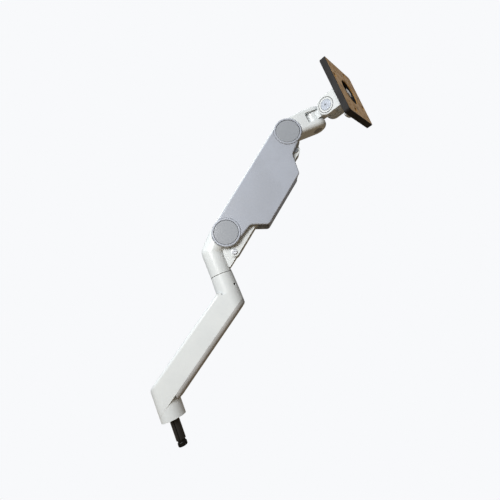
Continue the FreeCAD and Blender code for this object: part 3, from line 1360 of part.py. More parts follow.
STEPS = [buildPost, buildSleeve, buildLowerLink, buildStrip, buildLinkScrews, buildColumn,
         buildLowerBracket, buildBracketPins, buildArmShell, buildSideCovers, buildPivotTrim,
         buildStrut, buildStrutRod, buildAdjuster, buildParallelLink, buildLinkSpacers,
         buildNeck, buildNeckPins, buildKnuckle, buildTiltHead, buildPlateTray, buildFacePlate,
         buildTurntable]
for step in STEPS:
    step()

doc.removeObject(probe.Name)
doc.recompute()
os.makedirs("parts", exist_ok=True)
for item in doc.Objects:
    if "Invalid" in item.State or "Error" in item.State:
        raise RuntimeError("%s did not compute: %s" % (item.Label, item.State))
for item in made:
    shape = item.Shape
    if shape.isNull() or not shape.isValid() or not shape.Solids:
        raise RuntimeError(item.Label + " is not a sound solid")
    shape.exportStep("parts/%s.step" % item.Label)
print(len(made), "sub-parts written")
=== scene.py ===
import bpy
import json
import math
from mathutils import Matrix, Vector


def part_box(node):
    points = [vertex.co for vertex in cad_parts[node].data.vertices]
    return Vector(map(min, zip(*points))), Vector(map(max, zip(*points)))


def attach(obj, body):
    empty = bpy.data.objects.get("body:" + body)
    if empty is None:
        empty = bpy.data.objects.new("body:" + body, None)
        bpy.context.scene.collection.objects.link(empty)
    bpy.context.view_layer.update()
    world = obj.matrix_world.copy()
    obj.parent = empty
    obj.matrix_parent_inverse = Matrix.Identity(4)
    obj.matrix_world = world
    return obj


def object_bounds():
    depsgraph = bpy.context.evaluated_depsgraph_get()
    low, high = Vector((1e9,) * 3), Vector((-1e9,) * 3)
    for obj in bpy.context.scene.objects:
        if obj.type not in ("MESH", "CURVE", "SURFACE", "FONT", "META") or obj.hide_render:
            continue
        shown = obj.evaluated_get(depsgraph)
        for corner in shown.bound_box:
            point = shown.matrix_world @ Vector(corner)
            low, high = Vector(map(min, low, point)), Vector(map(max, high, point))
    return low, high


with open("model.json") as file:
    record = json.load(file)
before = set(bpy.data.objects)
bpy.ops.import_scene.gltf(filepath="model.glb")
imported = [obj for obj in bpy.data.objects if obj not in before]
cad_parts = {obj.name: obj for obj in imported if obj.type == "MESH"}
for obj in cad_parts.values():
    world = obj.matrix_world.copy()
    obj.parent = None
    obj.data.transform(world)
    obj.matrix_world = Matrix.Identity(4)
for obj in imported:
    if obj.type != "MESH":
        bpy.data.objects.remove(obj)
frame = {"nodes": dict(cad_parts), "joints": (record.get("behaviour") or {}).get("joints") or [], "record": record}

cadBox = [list(corner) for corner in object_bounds()]
lowCorner, highCorner = (Vector(corner) for corner in cadBox)
middle = (lowCorner + highCorner) / 2
print("stage 1: frame loaded,", len(frame["nodes"]), "CAD pieces")


def newGroup(name, inputs, outputs):
    group = bpy.data.node_groups.new(name, "ShaderNodeTree")
    for label, kind, value in inputs:
        socket = group.interface.new_socket(label, in_out="INPUT", socket_type=kind)
        if value is not None:
            socket.default_value = value
    for label, kind in outputs:
        group.interface.new_socket(label, in_out="OUTPUT", socket_type=kind)
    entry = group.nodes.new("NodeGroupInput")
    leave = group.nodes.new("NodeGroupOutput")
    return group, entry, leave


def addNoise(group, vector, scale, detail, roughness):
    noise = group.nodes.new("ShaderNodeTexNoise")
    noise.inputs["Detail"].default_value = detail
    noise.inputs["Roughness"].default_value = roughness
    group.links.new(vector, noise.inputs["Vector"])
    if isinstance(scale, (int, float)):
        noise.inputs["Scale"].default_value = scale
    else:
        group.links.new(scale, noise.inputs["Scale"])
    return noise.outputs["Fac"]


def addRange(group, value, fromLow, fromHigh, toLow=0.0, toHigh=1.0, soft=True):
    mapRange = group.nodes.new("ShaderNodeMapRange")
    mapRange.interpolation_type = "SMOOTHSTEP" if soft else "LINEAR"
    group.links.new(value, mapRange.inputs["Value"])
    limits = (("From Min", fromLow), ("From Max", fromHigh), ("To Min", toLow), ("To Max", toHigh))
    for label, amount in limits:
        if isinstance(amount, (int, float)):
            mapRange.inputs[label].default_value = amount
        else:
            group.links.new(amount, mapRange.inputs[label])
    return mapRange.outputs["Result"]


coat = {"grain": 900.0, "wave": 0.35, "waveScale": 55.0}


def buildCoatTexture():
    # fine pebbled skin of a powder coat or a spark-eroded mould
    group, entry, leave = newGroup(
        "coatTexture",
        [("Vector", "NodeSocketVector", None), ("Scale", "NodeSocketFloat", coat["grain"]),
         ("Wave", "NodeSocketFloat", coat["wave"])],
        [("Height", "NodeSocketFloat")])
    fine = addNoise(group, entry.outputs["Vector"], entry.outputs["Scale"], 2.0, 0.5)
    slow = addNoise(group, entry.outputs["Vector"], coat["waveScale"], 1.0, 0.4)
    blend = group.nodes.new("ShaderNodeMix")
    blend.data_type = "FLOAT"
    group.links.new(entry.outputs["Wave"], blend.inputs["Factor"])
    group.links.new(fine, blend.inputs["A"])
    group.links.new(slow, blend.inputs["B"])
    group.links.new(blend.outputs["Result"], leave.inputs["Height"])
    return group


handling = {"scale": 14.0, "rough": (0.2, 0.4), "range": (0.36, 0.68)}


def buildHandling():
    # broad, soft patches where hands have polished or dulled a surface
    group, entry, leave = newGroup(
        "handlingPatches",
        [("Vector", "NodeSocketVector", None), ("Scale", "NodeSocketFloat", handling["scale"]),
         ("Low", "NodeSocketFloat", handling["rough"][0]),
         ("High", "NodeSocketFloat", handling["rough"][1])],
        [("Value", "NodeSocketFloat"), ("Mask", "NodeSocketFloat")])
    patches = addNoise(group, entry.outputs["Vector"], entry.outputs["Scale"], 5.0, 0.62)
    mask = addRange(group, patches, *handling["range"])
    value = addRange(group, mask, 0.0, 1.0, entry.outputs["Low"], entry.outputs["High"], False)
    group.links.new(mask, leave.inputs["Mask"])
    group.links.new(value, leave.inputs["Value"])
    return group


brushing = {"scale": 500.0, "range": (0.42, 0.62)}


def buildBrushing():
    # long fine lines left by a brush, a grinder or a lathe tool
    group, entry, leave = newGroup(
        "brushedLines",
        [("Vector", "NodeSocketVector", None), ("Stretch", "NodeSocketVector", (1.0, 1.0, 1.0)),
         ("Scale", "NodeSocketFloat", brushing["scale"])],
        [("Height", "NodeSocketFloat"), ("Mask", "NodeSocketFloat")])
    stretch = group.nodes.new("ShaderNodeVectorMath")
    stretch.operation = "MULTIPLY"
    group.links.new(entry.outputs["Vector"], stretch.inputs[0])
    group.links.new(entry.outputs["Stretch"], stretch.inputs[1])
    lines = addNoise(group, stretch.outputs["Vector"], entry.outputs["Scale"], 3.0, 0.6)
    group.links.new(lines, leave.inputs["Height"])
    group.links.new(addRange(group, lines, *brushing["range"]), leave.inputs["Mask"])
    return group


specks = {"scale": 160.0, "amount": 0.3, "spot": (0.05, 0.16), "gateScale": 38.0, "gateRange": (0.56, 0.7)}


def buildSpecks():
    # sparse small nicks and dust
    group, entry, leave = newGroup(
        "specksAndNicks",
        [("Vector", "NodeSocketVector", None), ("Scale", "NodeSocketFloat", specks["scale"]),
         ("Amount", "NodeSocketFloat", specks["amount"])],
        [("Mask", "NodeSocketFloat")])
    cells = group.nodes.new("ShaderNodeTexVoronoi")
    cells.inputs["Randomness"].default_value = 1.0
    group.links.new(entry.outputs["Vector"], cells.inputs["Vector"])
    group.links.new(entry.outputs["Scale"], cells.inputs["Scale"])
    near = addRange(group, cells.outputs["Distance"], *specks["spot"], 1.0, 0.0)
    gate = addNoise(group, entry.outputs["Vector"], specks["gateScale"], 2.0, 0.6)
    gateMask = addRange(group, gate, *specks["gateRange"])
    both = group.nodes.new("ShaderNodeMath")
    both.operation = "MULTIPLY"
    group.links.new(near, both.inputs[0])
    group.links.new(gateMask, both.inputs[1])
    scaled = group.nodes.new("ShaderNodeMath")
    scaled.operation = "MULTIPLY"
    group.links.new(both.outputs["Value"], scaled.inputs[0])
    group.links.new(entry.outputs["Amount"], scaled.inputs[1])
    group.links.new(scaled.outputs["Value"], leave.inputs["Mask"])
    return group


seams = {"reach": 0.004, "amount": 0.7, "samples": 8, "closed": (0.12, 0.62)}


def buildSeamShade():
    # painted shade: darkens narrow gaps and inner corners by ambient occlusion, where shadow falls and dust
    # gathers
    group, entry, leave = newGroup(
        "seamShade",
        [("Reach", "NodeSocketFloat", seams["reach"]), ("Amount", "NodeSocketFloat", seams["amount"])],
        [("Mask", "NodeSocketFloat")])
    near = group.nodes.new("ShaderNodeAmbientOcclusion")
    near.samples = seams["samples"]
    group.links.new(entry.outputs["Reach"], near.inputs["Distance"])
    closed = addRange(group, near.outputs["AO"], *seams["closed"], 1.0, 0.0)
    amount = group.nodes.new("ShaderNodeMath")
    amount.operation = "MULTIPLY"
    group.links.new(closed, amount.inputs[0])
    group.links.new(entry.outputs["Amount"], amount.inputs[1])
    group.links.new(amount.outputs["Value"], leave.inputs["Mask"])
    return group


# edge mask for the painted edge highlight and wear
edges = {"radius": 0.0006, "amount": 0.5, "samples": 6, "range": (0.86, 0.995),
         "breakScale": 120.0, "breakRange": (0.3, 0.6), "leastHighlightAndWear": 0.45}


def buildEdgeWearAndHighlight():
    # lighter edges: painted highlight along rounded edges with some rubbed wear, broken up by noise; the bevel
    # normal also softens them
    group, entry, leave = newGroup(
        "edgeWearAndHighlight",
        [("Vector", "NodeSocketVector", None), ("Radius", "NodeSocketFloat", edges["radius"]),
         ("Amount", "NodeSocketFloat", edges["amount"])],
        [("Mask", "NodeSocketFloat"), ("Normal", "NodeSocketVector")])
    bevel = group.nodes.new("ShaderNodeBevel")
    bevel.samples = edges["samples"]
    group.links.new(entry.outputs["Radius"], bevel.inputs["Radius"])
    flat = group.nodes.new("ShaderNodeNewGeometry")
    match = group.nodes.new("ShaderNodeVectorMath")
    match.operation = "DOT_PRODUCT"
    group.links.new(bevel.outputs["Normal"], match.inputs[0])
    group.links.new(flat.outputs["Normal"], match.inputs[1])
    edge = addRange(group, match.outputs["Value"], *edges["range"], 1.0, 0.0)
    patchy = addNoise(group, entry.outputs["Vector"], edges["breakScale"], 3.0, 0.6)
    broken = addRange(group, patchy, *edges["breakRange"], edges["leastHighlightAndWear"], 1.0)
    both = group.nodes.new("ShaderNodeMath")
    both.operation = "MULTIPLY"
    group.links.new(edge, both.inputs[0])
    group.links.new(broken, both.inputs[1])
    amount = group.nodes.new("ShaderNodeMath")
    amount.operation = "MULTIPLY"
    group.links.new(both.outputs["Value"], amount.inputs[0])
    group.links.new(entry.outputs["Amount"], amount.inputs[1])
    group.links.new(amount.outputs["Value"], leave.inputs["Mask"])
    group.links.new(bevel.outputs["Normal"], leave.inputs["Normal"])
    return group


seamShade = buildSeamShade()
edgeWearAndHighlight = buildEdgeWearAndHighlight()
coatTexture = buildCoatTexture()
handlingPatches = buildHandling()
brushedLines = buildBrushing()
specksAndNicks = buildSpecks()
print("stage 2: shader groups ready")


# one entry for each finish; lengths are in metres and colours are linear
finishes = {
    "white_casting": {"colour": (0.765, 0.805, 0.815), "shade": (0.71, 0.75, 0.765), "rough": (0.3, 0.42),
                      "metal": 0.0, "pebble": 0.04, "pebbleScale": 700.0, "specks": 0.05, "coat": 0.15,
                      "edge": (0.9, 0.92, 0.92), "highlightAndWear": 0.7},
    # white_strip: white paint given a grey colour, painted shade for a strip on the link's shaded underside
    "white_strip": {"colour": (0.46, 0.46, 0.455), "shade": (0.40, 0.40, 0.395), "rough": (0.34, 0.46),
                    "metal": 0.0, "pebble": 0.06, "pebbleScale": 1500.0, "specks": 0.2},
    "link_white": {"colour": (0.765, 0.805, 0.815), "shade": (0.7, 0.735, 0.745), "rough": (0.3, 0.42),
                   "metal": 0.0, "pebble": 0.04, "pebbleScale": 700.0, "specks": 0.06, "coat": 0.15,
                   "edge": (0.88, 0.9, 0.9), "highlightAndWear": 0.6},
    "grey_cover": {"colour": (0.44, 0.475, 0.545), "shade": (0.40, 0.43, 0.49), "rough": (0.2, 0.32),
                   "metal": 0.0, "pebble": 0.02, "pebbleScale": 900.0, "specks": 0.05, "coat": 0.35,
                   "edge": (0.72, 0.75, 0.82), "highlightAndWear": 0.8, "bevel": 0.001, "reach": 0.004},
    "grey_cap": {"colour": (0.37, 0.395, 0.43), "shade": (0.335, 0.36, 0.395), "rough": (0.16, 0.28),
                 "metal": 0.0, "pebble": 0.015, "pebbleScale": 900.0, "specks": 0.05, "coat": 0.6,
                 "edge": (0.6, 0.63, 0.68), "highlightAndWear": 0.6, "reach": 0.003},
    "post_steel": {"colour": (0.022, 0.021, 0.02), "shade": (0.014, 0.014, 0.014), "rough": (0.24, 0.42),
                   "metal": 0.7, "lines": 0.12, "stretch": (0.05, 0.05, 1.0), "lineScale": 900.0,
                   "specks": 0.5},
    "sleeve_nylon": {"colour": (0.014, 0.0135, 0.013), "shade": (0.022, 0.021, 0.02), "rough": (0.26, 0.42),
                     "metal": 0.0, "pebble": 0.12, "pebbleScale": 1100.0, "specks": 0.4},
    "tray_black": {"colour": (0.022, 0.021, 0.021), "shade": (0.016, 0.015, 0.015), "rough": (0.5, 0.64),
                   "metal": 0.0, "pebble": 0.2, "pebbleScale": 600.0, "specks": 0.2, "gloss": 0.22,
                   "edge": (0.05, 0.05, 0.05), "highlightAndWear": 0.5},
    "washer_nylon": {"colour": (0.03, 0.03, 0.03), "shade": (0.045, 0.045, 0.045), "rough": (0.4, 0.55),
                     "metal": 0.0, "pebble": 0.12, "pebbleScale": 1200.0},
    # the face's wide reach and strong amount of painted shade darken it near the raised parts round it
    "face_gold": {"colour": (0.56, 0.32, 0.10), "shade": (0.42, 0.225, 0.06), "rough": (0.42, 0.58),
                  "metal": 0.2, "gloss": 0.16, "patch": 60.0, "reach": 0.012, "seam": 0.95,
                  "edge": (0.75, 0.5, 0.24), "highlightAndWear": 0.6, "lines": 0.08, "stretch": (1.0, 1.0, 0.03),
                  "lineScale": 700.0, "specks": 0.35},
    "hub_bright": {"colour": (0.66, 0.65, 0.62), "shade": (0.5, 0.49, 0.46), "rough": (0.24, 0.38),
                   "metal": 0.9, "lines": 0.12, "stretch": (1.0, 1.0, 0.1), "lineScale": 800.0,
                   "specks": 0.4},
    "tilt_grey": {"colour": (0.46, 0.50, 0.57), "shade": (0.38, 0.42, 0.48), "rough": (0.3, 0.42),
                  "metal": 0.35, "lines": 0.1, "stretch": (0.08, 1.0, 1.0), "lineScale": 900.0,
                  "specks": 0.3},
    "pin_steel": {"colour": (0.55, 0.56, 0.58), "shade": (0.42, 0.43, 0.45), "rough": (0.22, 0.36),
                  "metal": 1.0, "lines": 0.12, "stretch": (1.0, 0.08, 1.0), "lineScale": 900.0,
                  "specks": 0.3},
    "screw_black": {"colour": (0.05, 0.05, 0.052), "shade": (0.03, 0.03, 0.03), "rough": (0.3, 0.46),
                    "metal": 0.8, "pebble": 0.15, "pebbleScale": 1400.0, "specks": 0.5},
    "bushing_bronze": {"colour": (0.42, 0.27, 0.12), "shade": (0.3, 0.185, 0.08), "rough": (0.3, 0.48),
                       "metal": 1.0, "lines": 0.12, "stretch": (1.0, 0.08, 1.0), "lineScale": 900.0},
    "cylinder_black": {"colour": (0.022, 0.022, 0.024), "shade": (0.035, 0.035, 0.037), "rough": (0.2, 0.34),
                       "metal": 0.0, "pebble": 0.08, "pebbleScale": 1200.0, "specks": 0.5, "coat": 0.4},
    "rod_chrome": {"colour": (0.72, 0.73, 0.74), "shade": (0.62, 0.63, 0.65), "rough": (0.06, 0.14),
                   "metal": 1.0, "lines": 0.03, "stretch": (0.2, 1.0, 0.2), "lineScale": 1200.0},
    "block_zinc": {"colour": (0.42, 0.42, 0.43), "shade": (0.33, 0.33, 0.34), "rough": (0.38, 0.55),
                   "metal": 0.85, "pebble": 0.3, "pebbleScale": 700.0, "specks": 0.4},
}
# what a finish has where its own entry says nothing
plainFinish = {"patch": 16.0, "highlightAndWear": 0.5, "bevel": 0.0006, "seam": 0.75, "reach": 0.005, "coat": 0.0,
               "gloss": 0.5, "coatRough": 0.12, "bumpDepth": 0.0006, "lineShade": 0.35}
# speck is a colour of dust and nicks; seam is the colour of painted shade in gaps and inner corners
dirtAndPaintedShade = {"speck": (0.02, 0.018, 0.016, 1.0), "seam": (0.022, 0.021, 0.02, 1.0)}


def placeGroup(tree, group, coordinates, values):
    node = tree.nodes.new("ShaderNodeGroup")
    node.node_tree = group
    if coordinates is not None:
        tree.links.new(coordinates, node.inputs["Vector"])
    for label, value in values.items():
        node.inputs[label].default_value = value
    return node


def mixColour(tree, factor, first, second):
    mix = tree.nodes.new("ShaderNodeMix")
    mix.data_type = "RGBA"
    tree.links.new(factor, mix.inputs["Factor"])
    for label, colour in (("A", first), ("B", second)):
        socket = [s for s in mix.inputs if s.name == label and s.type == "RGBA"][0]
        if isinstance(colour, tuple):
            socket.default_value = colour if len(colour) == 4 else (*colour, 1.0)
        else:
            tree.links.new(colour, socket)
    return [s for s in mix.outputs if s.type == "RGBA"][0]


def scaled(tree, value, amount):
    multiply = tree.nodes.new("ShaderNodeMath")
    multiply.operation = "MULTIPLY"
    multiply.inputs[1].default_value = amount
    tree.links.new(value, multiply.inputs[0])
    return multiply.outputs["Value"]


def makeFinish(name, entry):
    look = {**plainFinish, **entry}
    material = bpy.data.materials.new("finish_" + name)
    material.use_nodes = True
    tree = material.node_tree
    shader = tree.nodes["Principled BSDF"]
    place = tree.nodes.new("ShaderNodeTexCoord").outputs["Object"]
    low, high = look["rough"]
    patches = placeGroup(tree, handlingPatches, place, {"Scale": look["patch"], "Low": low, "High": high})
    colour = mixColour(tree, patches.outputs["Mask"], look["colour"], look["shade"])
    roughness = patches.outputs["Value"]
    if look.get("specks"):
        nicks = placeGroup(tree, specksAndNicks, place, {"Amount": look["specks"]})
        colour = mixColour(tree, nicks.outputs["Mask"], colour, dirtAndPaintedShade["speck"])
    if look.get("lines"):
        lines = placeGroup(tree, brushedLines, place,
                           {"Stretch": look["stretch"], "Scale": look["lineScale"]})
        height = lines.outputs["Height"]
        strength = look["lines"]
        lineMask = scaled(tree, lines.outputs["Mask"], look["lineShade"])
        colour = mixColour(tree, lineMask, colour, look["shade"])
    else:
        pebble = placeGroup(tree, coatTexture, place, {"Scale": look["pebbleScale"]})
        height = pebble.outputs["Height"]
        strength = look["pebble"]
    # painted highlight with wear: edges lightened toward the finish's edge colour
    highlightAndWear = placeGroup(tree, edgeWearAndHighlight, place, {"Amount": look["highlightAndWear"], "Radius": look["bevel"]})
    colour = mixColour(tree, highlightAndWear.outputs["Mask"], colour, look.get("edge", look["colour"]))
    # painted shade: the colour darkens toward the seam colour in narrow gaps and inner corners
    seam = placeGroup(tree, seamShade, None, {"Amount": look["seam"], "Reach": look["reach"]})
    colour = mixColour(tree, seam.outputs["Mask"], colour, dirtAndPaintedShade["seam"])
    bump = tree.nodes.new("ShaderNodeBump")
    tree.links.new(highlightAndWear.outputs["Normal"], bump.inputs["Normal"])
    bump.inputs["Strength"].default_value = strength
    bump.inputs["Distance"].default_value = look["bumpDepth"]
    tree.links.new(height, bump.inputs["Height"])
    tree.links.new(bump.outputs["Normal"], shader.inputs["Normal"])
    tree.links.new(colour, shader.inputs["Base Color"])
    tree.links.new(roughness, shader.inputs["Roughness"])
    shader.inputs["Metallic"].default_value = look["metal"]
    shader.inputs["Coat Weight"].default_value = look["coat"]
    shader.inputs["Coat Roughness"].default_value = look["coatRough"]
    shader.inputs["Specular IOR Level"].default_value = look["gloss"]
    return material


materials = {name: makeFinish(name, look) for name, look in finishes.items()}
slotOf = {part["node"]: part["material_slot"] for part in frame["record"]["subparts"]}
for node, piece in frame["nodes"].items():
    for index in range(len(piece.material_slots)):
        piece.material_slots[index].material = materials[slotOf[node]]
print("stage 3: finishes on", len(slotOf), "CAD pieces")


jointNamed = {joint["name"]: joint for joint in frame["joints"]}


def boxCentre(node):
    low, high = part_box(node)
    return (low + high) / 2


def axisFrame(origin, axis):
    # local Z along the axis, with its origin at a point on it
    return Matrix.Translation(origin) @ Vector(axis).to_track_quat("Z", "Y").to_matrix().to_4x4()


def jointPoint(name, near):
    # the point on a joint's axis that lies closest to another point
    start = Vector(jointNamed[name]["pos_m"])
    axis = Vector(jointNamed[name]["axis"]).normalized()
    return start + axis * (near - start).dot(axis), axis


def addPiece(name, points, faces, place, body, slotName, smooth=False):
    mesh = bpy.data.meshes.new(name)
    mesh.from_pydata([tuple(place @ Vector(point)) for point in points], [], faces)
    mesh.validate()
    mesh.update()
    for face in mesh.polygons:
        face.use_smooth = smooth
    piece = bpy.data.objects.new(name, mesh)
    bpy.context.scene.collection.objects.link(piece)
    mesh.materials.append(materials[slotName])
    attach(piece, body)
    return piece


def polar(radius, angle, height):
    return (radius * math.cos(angle), radius * math.sin(angle), height)


def ringLoft(sections, steps):
    # closed ring from a function that gives its outline at each turn
    points, faces = [], []
    for i in range(steps):
        points += sections(2 * math.pi * i / steps, i)
    count = len(points) // steps
    for i in range(steps):
        a, b = count * i, count * ((i + 1) % steps)
        for j in range(count):
            k = (j + 1) % count
            faces.append((a + j, b + j, b + k, a + k))
    return points, faces


toothWasher = {"teeth": 16, "stepsEach": 4, "inner": 0.01045, "waist": 0.0110, "tip": 0.0118,
               "thick": 0.0005, "twist": 0.00035, "washerThick": 0.0014}


def buildToothWasher():
    # spring washer with twisted outer teeth, round the foot of the hub's nut
    spec = toothWasher
    centre, axis = jointPoint("plate_turn", boxCentre("hub_washer"))
    outward = axis if (boxCentre("hub_nut") - boxCentre("hub_washer")).dot(axis) > 0 else -axis

    def outline(angle, i):
        step = i % spec["stepsEach"]
        outer = spec["tip"] if step in (1, 2) else spec["waist"]
        lift = spec["twist"] if step == 1 else 0.0
        return [polar(spec["inner"], angle, 0.0), polar(outer, angle, lift),
                polar(outer, angle, spec["thick"] + lift), polar(spec["inner"], angle, spec["thick"])]

    points, faces = ringLoft(outline, spec["teeth"] * spec["stepsEach"])
    place = axisFrame(centre + outward * spec["washerThick"] / 2, outward)
    addPiece("hub_tooth_washer", points, faces, place, "plate", "pin_steel")


sealRings = {"section": 12, "steps": 96, "seamSwell": 1.05, "sunk": 1.15,
             "tiltReach": 0.0245, "tiltRadius": 0.01665, "tiltThick": 0.00064,
             "columnRadius": 0.0234, "columnThick": 0.00052}


def buildSealRing(name, place, radius, thick, body):
    # soft round-section ring with a fine moulding seam round its middle
    count = sealRings["section"]

    def outline(angle, i):
        found = []
        for j in range(count):
            around = 2 * math.pi * j / count
            swell = thick * (sealRings["seamSwell"] if j == 0 else 1.0)
            found.append(polar(radius + swell * math.cos(around), angle, swell * math.sin(around)))
        return found

    points, faces = ringLoft(outline, sealRings["steps"])
    addPiece(name, points, faces, place, body, "washer_nylon", True)


def buildSealRings():
    spec = sealRings
    centre, axis = jointPoint("tilt", boxCentre("tilt_head_casting"))
    for side, name in ((1, "tilt_seal_far"), (-1, "tilt_seal_near")):
        along = axis if axis.y * side > 0 else -axis
        groove = centre + along * (spec["tiltReach"] - spec["tiltThick"] * spec["sunk"])
        buildSealRing(name, axisFrame(groove, along), spec["tiltRadius"], spec["tiltThick"], "tilt_head")
    low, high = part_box("column_thrust_washer")
    seat, axis = jointPoint("column_swivel", (low + high) / 2)
    buildSealRing("column_seal", axisFrame(seat, axis), spec["columnRadius"], spec["columnThick"], "lower_link")


releaseTab = {"depth": (0.0235, 0.0374), "across": -0.0105, "drop": 0.0435,
              "halfWide": 0.0145, "halfHigh": 0.0065, "turns": 40, "rows": 14, "power": 3.2,
              "closing": 2.2, "endShape": 0.02, "narrow": 0.35, "widening": 0.65,
              "ribs": 5, "ribDeep": 0.0004, "ribsBelow": -0.3, "ribFade": 3}


def buildReleaseTab():
    # rounded, ribbed thumb tab behind the plate that frees it from its disc
    spec = releaseTab
    centre, axis = jointPoint("plate_turn", boxCentre("rotation_disc"))
    tilt = Vector(jointNamed["tilt"]["pos_m"])
    if (centre - tilt).dot(axis) < 0:
        axis = -axis
    up = Vector((0, 0, 1))
    side = up.cross(axis).normalized()
    points, faces = [], []
    first, last = spec["depth"]
    for row in range(spec["rows"] + 1):
        share = row / spec["rows"]
        # the free end closes like a thumb, the root stays full
        full = min(1.0, share * spec["closing"])
        shape = math.sqrt(max(0.0, 1 - (1 - full) ** 2)) if row else spec["endShape"]
        depth = first + (last - first) * share
        for turn in range(spec["turns"]):
            angle = 2 * math.pi * turn / spec["turns"]
            c, s = math.cos(angle), math.sin(angle)
            spread = spec["narrow"] + spec["widening"] * shape
            wide = math.copysign(abs(c) ** (2 / spec["power"]), c) * spec["halfWide"] * spread
            high = math.copysign(abs(s) ** (2 / spec["power"]), s) * spec["halfHigh"] * shape
            if s < spec["ribsBelow"]:
                ridge = math.cos(2 * math.pi * spec["ribs"] * share)
                high += spec["ribDeep"] * ridge * min(1.0, share * spec["ribFade"])
            points.append(tilt + axis * depth + side * (spec["across"] + wide) + up * (high - spec["drop"]))
    count = spec["turns"]
    for row in range(spec["rows"]):
        for turn in range(count):
            a, b = count * row, count * row + count
            k = (turn + 1) % count
            faces.append((a + turn, a + k, b + k, b + turn))
    faces.append(tuple(reversed(range(count))))
    faces.append(tuple(range(count * spec["rows"], count * spec["rows"] + count)))
    addPiece("plate_release_tab", points, faces, Matrix.Identity(4), "plate", "white_casting", True)


screwThread = {"pitch": 0.0015, "depth": 0.00024, "turnSteps": 24, "shank": 0.0039, "long": 0.0105,
               "tip": 0.0011, "toTip": 0.0106, "rootSunk": 0.0001, "halfShare": 0.45, "fadeSteps": 12}


def buildTensionThread():
    # rolled thread on the tension screw's shank, from its tip to the bridge
    spec = screwThread
    low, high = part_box("tension_screw")
    centre, axis = jointPoint("tension_turn", (low + high) / 2)
    bridge = boxCentre("tension_bridge")
    along = axis if (bridge - boxCentre("adjusting_block")).dot(axis) > 0 else -axis
    tipPoint = centre - along * spec["toTip"]
    start = tipPoint + along * spec["tip"]
    steps = int(spec["long"] / spec["pitch"] * spec["turnSteps"])
    points, faces = [], []
    root = spec["shank"] - spec["rootSunk"]
    half = spec["halfShare"] * spec["pitch"]
    for i in range(steps + 1):
        angle = 2 * math.pi * i / spec["turnSteps"]
        climb = spec["pitch"] * i / spec["turnSteps"]
        crest = spec["depth"] * min(1.0, i / spec["fadeSteps"], (steps - i) / spec["fadeSteps"])
        points += [polar(root, angle, climb - half), polar(spec["shank"] + crest, angle, climb),
                   polar(root, angle, climb + half)]
    for i in range(steps):
        a, b = 3 * i, 3 * i + 3
        faces += [(a, b, b + 1, a + 1), (a + 1, b + 1, b + 2, a + 2), (a + 2, b + 2, b, a)]
    faces += [(0, 1, 2), (3 * steps + 2, 3 * steps + 1, 3 * steps)]
    addPiece("tension_screw_thread", points, faces, axisFrame(start, along), "adjuster", "screw_black", True)


buildSealRings()
buildReleaseTab()
buildToothWasher()
buildTensionThread()
print("stage 4: finer pieces built")


studio = {"pale": (0.939, 0.947, 0.965), "bounce": (0.23, 0.175, 0.115), "floorSize": 60.0,
          "floorGap": 0.0005}


def buildFloor():
    half = studio["floorSize"] / 2
    mesh = bpy.data.meshes.new("floor")
    level = lowCorner.z - studio["floorGap"]
    turns = ((-half, -half), (half, -half), (half, half), (-half, half))
    corners = [(x + middle.x, y + middle.y, level) for x, y in turns]
    mesh.from_pydata(corners, [], [(0, 1, 2, 3)])
    floor = bpy.data.objects.new("floor", mesh)
    bpy.context.scene.collection.objects.link(floor)
    material = bpy.data.materials.new("pale_floor")
    material.use_nodes = True
    tree = material.node_tree
    tree.nodes.clear()
    output = tree.nodes.new("ShaderNodeOutputMaterial")
    path = tree.nodes.new("ShaderNodeLightPath")
    seen = tree.nodes.new("ShaderNodeEmission")
    seen.inputs["Color"].default_value = (*studio["pale"], 1.0)
    bounce = tree.nodes.new("ShaderNodeBsdfDiffuse")
    bounce.inputs["Color"].default_value = (*studio["bounce"], 1.0)
    mix = tree.nodes.new("ShaderNodeMixShader")
    tree.links.new(path.outputs["Is Camera Ray"], mix.inputs["Fac"])
    tree.links.new(bounce.outputs["BSDF"], mix.inputs[1])
    tree.links.new(seen.outputs["Emission"], mix.inputs[2])
    # clear from below, so the arm can be looked at from there
    side = tree.nodes.new("ShaderNodeNewGeometry")
    under = tree.nodes.new("ShaderNodeMath")
    under.operation = "MULTIPLY"
    tree.links.new(side.outputs["Backfacing"], under.inputs[0])
    tree.links.new(path.outputs["Is Camera Ray"], under.inputs[1])
    clear = tree.nodes.new("ShaderNodeBsdfTransparent")
    whole = tree.nodes.new("ShaderNodeMixShader")
    tree.links.new(under.outputs["Value"], whole.inputs["Fac"])
    tree.links.new(mix.outputs["Shader"], whole.inputs[1])
    tree.links.new(clear.outputs["BSDF"], whole.inputs[2])
    tree.links.new(whole.outputs["Shader"], output.inputs["Surface"])
    mesh.materials.append(material)


buildFloor()

sky = {"top": (0.95, 0.98, 1.0), "side": (0.22, 0.235, 0.265), "strength": 0.56, "rise": (0.0, 0.9)}


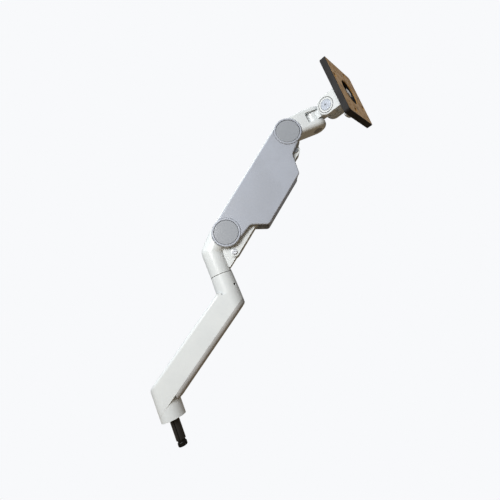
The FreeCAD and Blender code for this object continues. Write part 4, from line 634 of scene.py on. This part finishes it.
def buildWorld():
    world = bpy.data.worlds.new("studio")
    world.use_nodes = True
    bpy.context.scene.world = world
    tree = world.node_tree
    tree.nodes.clear()
    output = tree.nodes.new("ShaderNodeOutputWorld")
    path = tree.nodes.new("ShaderNodeLightPath")
    seen = tree.nodes.new("ShaderNodeBackground")
    seen.inputs["Color"].default_value = (*studio["pale"], 1.0)
    light = tree.nodes.new("ShaderNodeBackground")
    light.inputs["Strength"].default_value = sky["strength"]
    place = tree.nodes.new("ShaderNodeTexCoord")
    split = tree.nodes.new("ShaderNodeSeparateXYZ")
    tree.links.new(place.outputs["Generated"], split.inputs["Vector"])
    rise = addRange(tree, split.outputs["Z"], *sky["rise"])
    tree.links.new(mixColour(tree, rise, sky["side"], sky["top"]), light.inputs["Color"])
    mix = tree.nodes.new("ShaderNodeMixShader")
    tree.links.new(path.outputs["Is Camera Ray"], mix.inputs["Fac"])
    tree.links.new(light.outputs["Background"], mix.inputs[1])
    tree.links.new(seen.outputs["Background"], mix.inputs[2])
    tree.links.new(mix.outputs["Shader"], output.inputs["Surface"])


buildWorld()

lamps = {
    "key": {"offset": (-0.55, -1.3, 0.68), "size": 0.7, "watts": 22.5, "colour": (1.0, 0.995, 0.985)},
    "top": {"offset": (-0.1, 0.0, 1.5), "size": 1.0, "watts": 6.0, "colour": (0.97, 0.985, 1.0)},
    "rim": {"offset": (1.3, 0.5, 0.6), "size": 0.8, "watts": 0.8, "colour": (1.0, 0.93, 0.82)},
}


def buildLamps():
    for name, lamp in lamps.items():
        data = bpy.data.lights.new("lamp_" + name, "AREA")
        data.size = lamp["size"]
        data.energy = lamp["watts"]
        data.color = lamp["colour"]
        item = bpy.data.objects.new("lamp_" + name, data)
        item.location = middle + Vector(lamp["offset"])
        item.rotation_euler = (-Vector(lamp["offset"])).to_track_quat("-Z", "Y").to_euler()
        bpy.context.scene.collection.objects.link(item)


buildLamps()

view = {"place": (0.25, -0.7169, 0.1362), "right": (0.92345054, 0.01729889, -0.38332735),
        "up": (0.38066213, -0.16711467, 0.90948833), "lens": 23.947, "sensor": 36.0, "shift": (-0.012, 0.0),
        "nearest": 0.01}


def buildCamera():
    data = bpy.data.cameras.new("camera")
    data.sensor_width = view["sensor"]
    data.lens = view["lens"]
    data.shift_x, data.shift_y = view["shift"]
    data.clip_start = view["nearest"]
    camera = bpy.data.objects.new("camera", data)
    right = Vector(view["right"]).normalized()
    up = Vector(view["up"]).normalized()
    turn = Matrix((right, up, right.cross(up))).transposed().to_4x4()
    camera.matrix_world = Matrix.Translation(view["place"]) @ turn
    bpy.context.scene.collection.objects.link(camera)
    bpy.context.scene.camera = camera
    bpy.context.scene.view_settings.view_transform = "Standard"


buildCamera()
print("stage 5: studio ready")
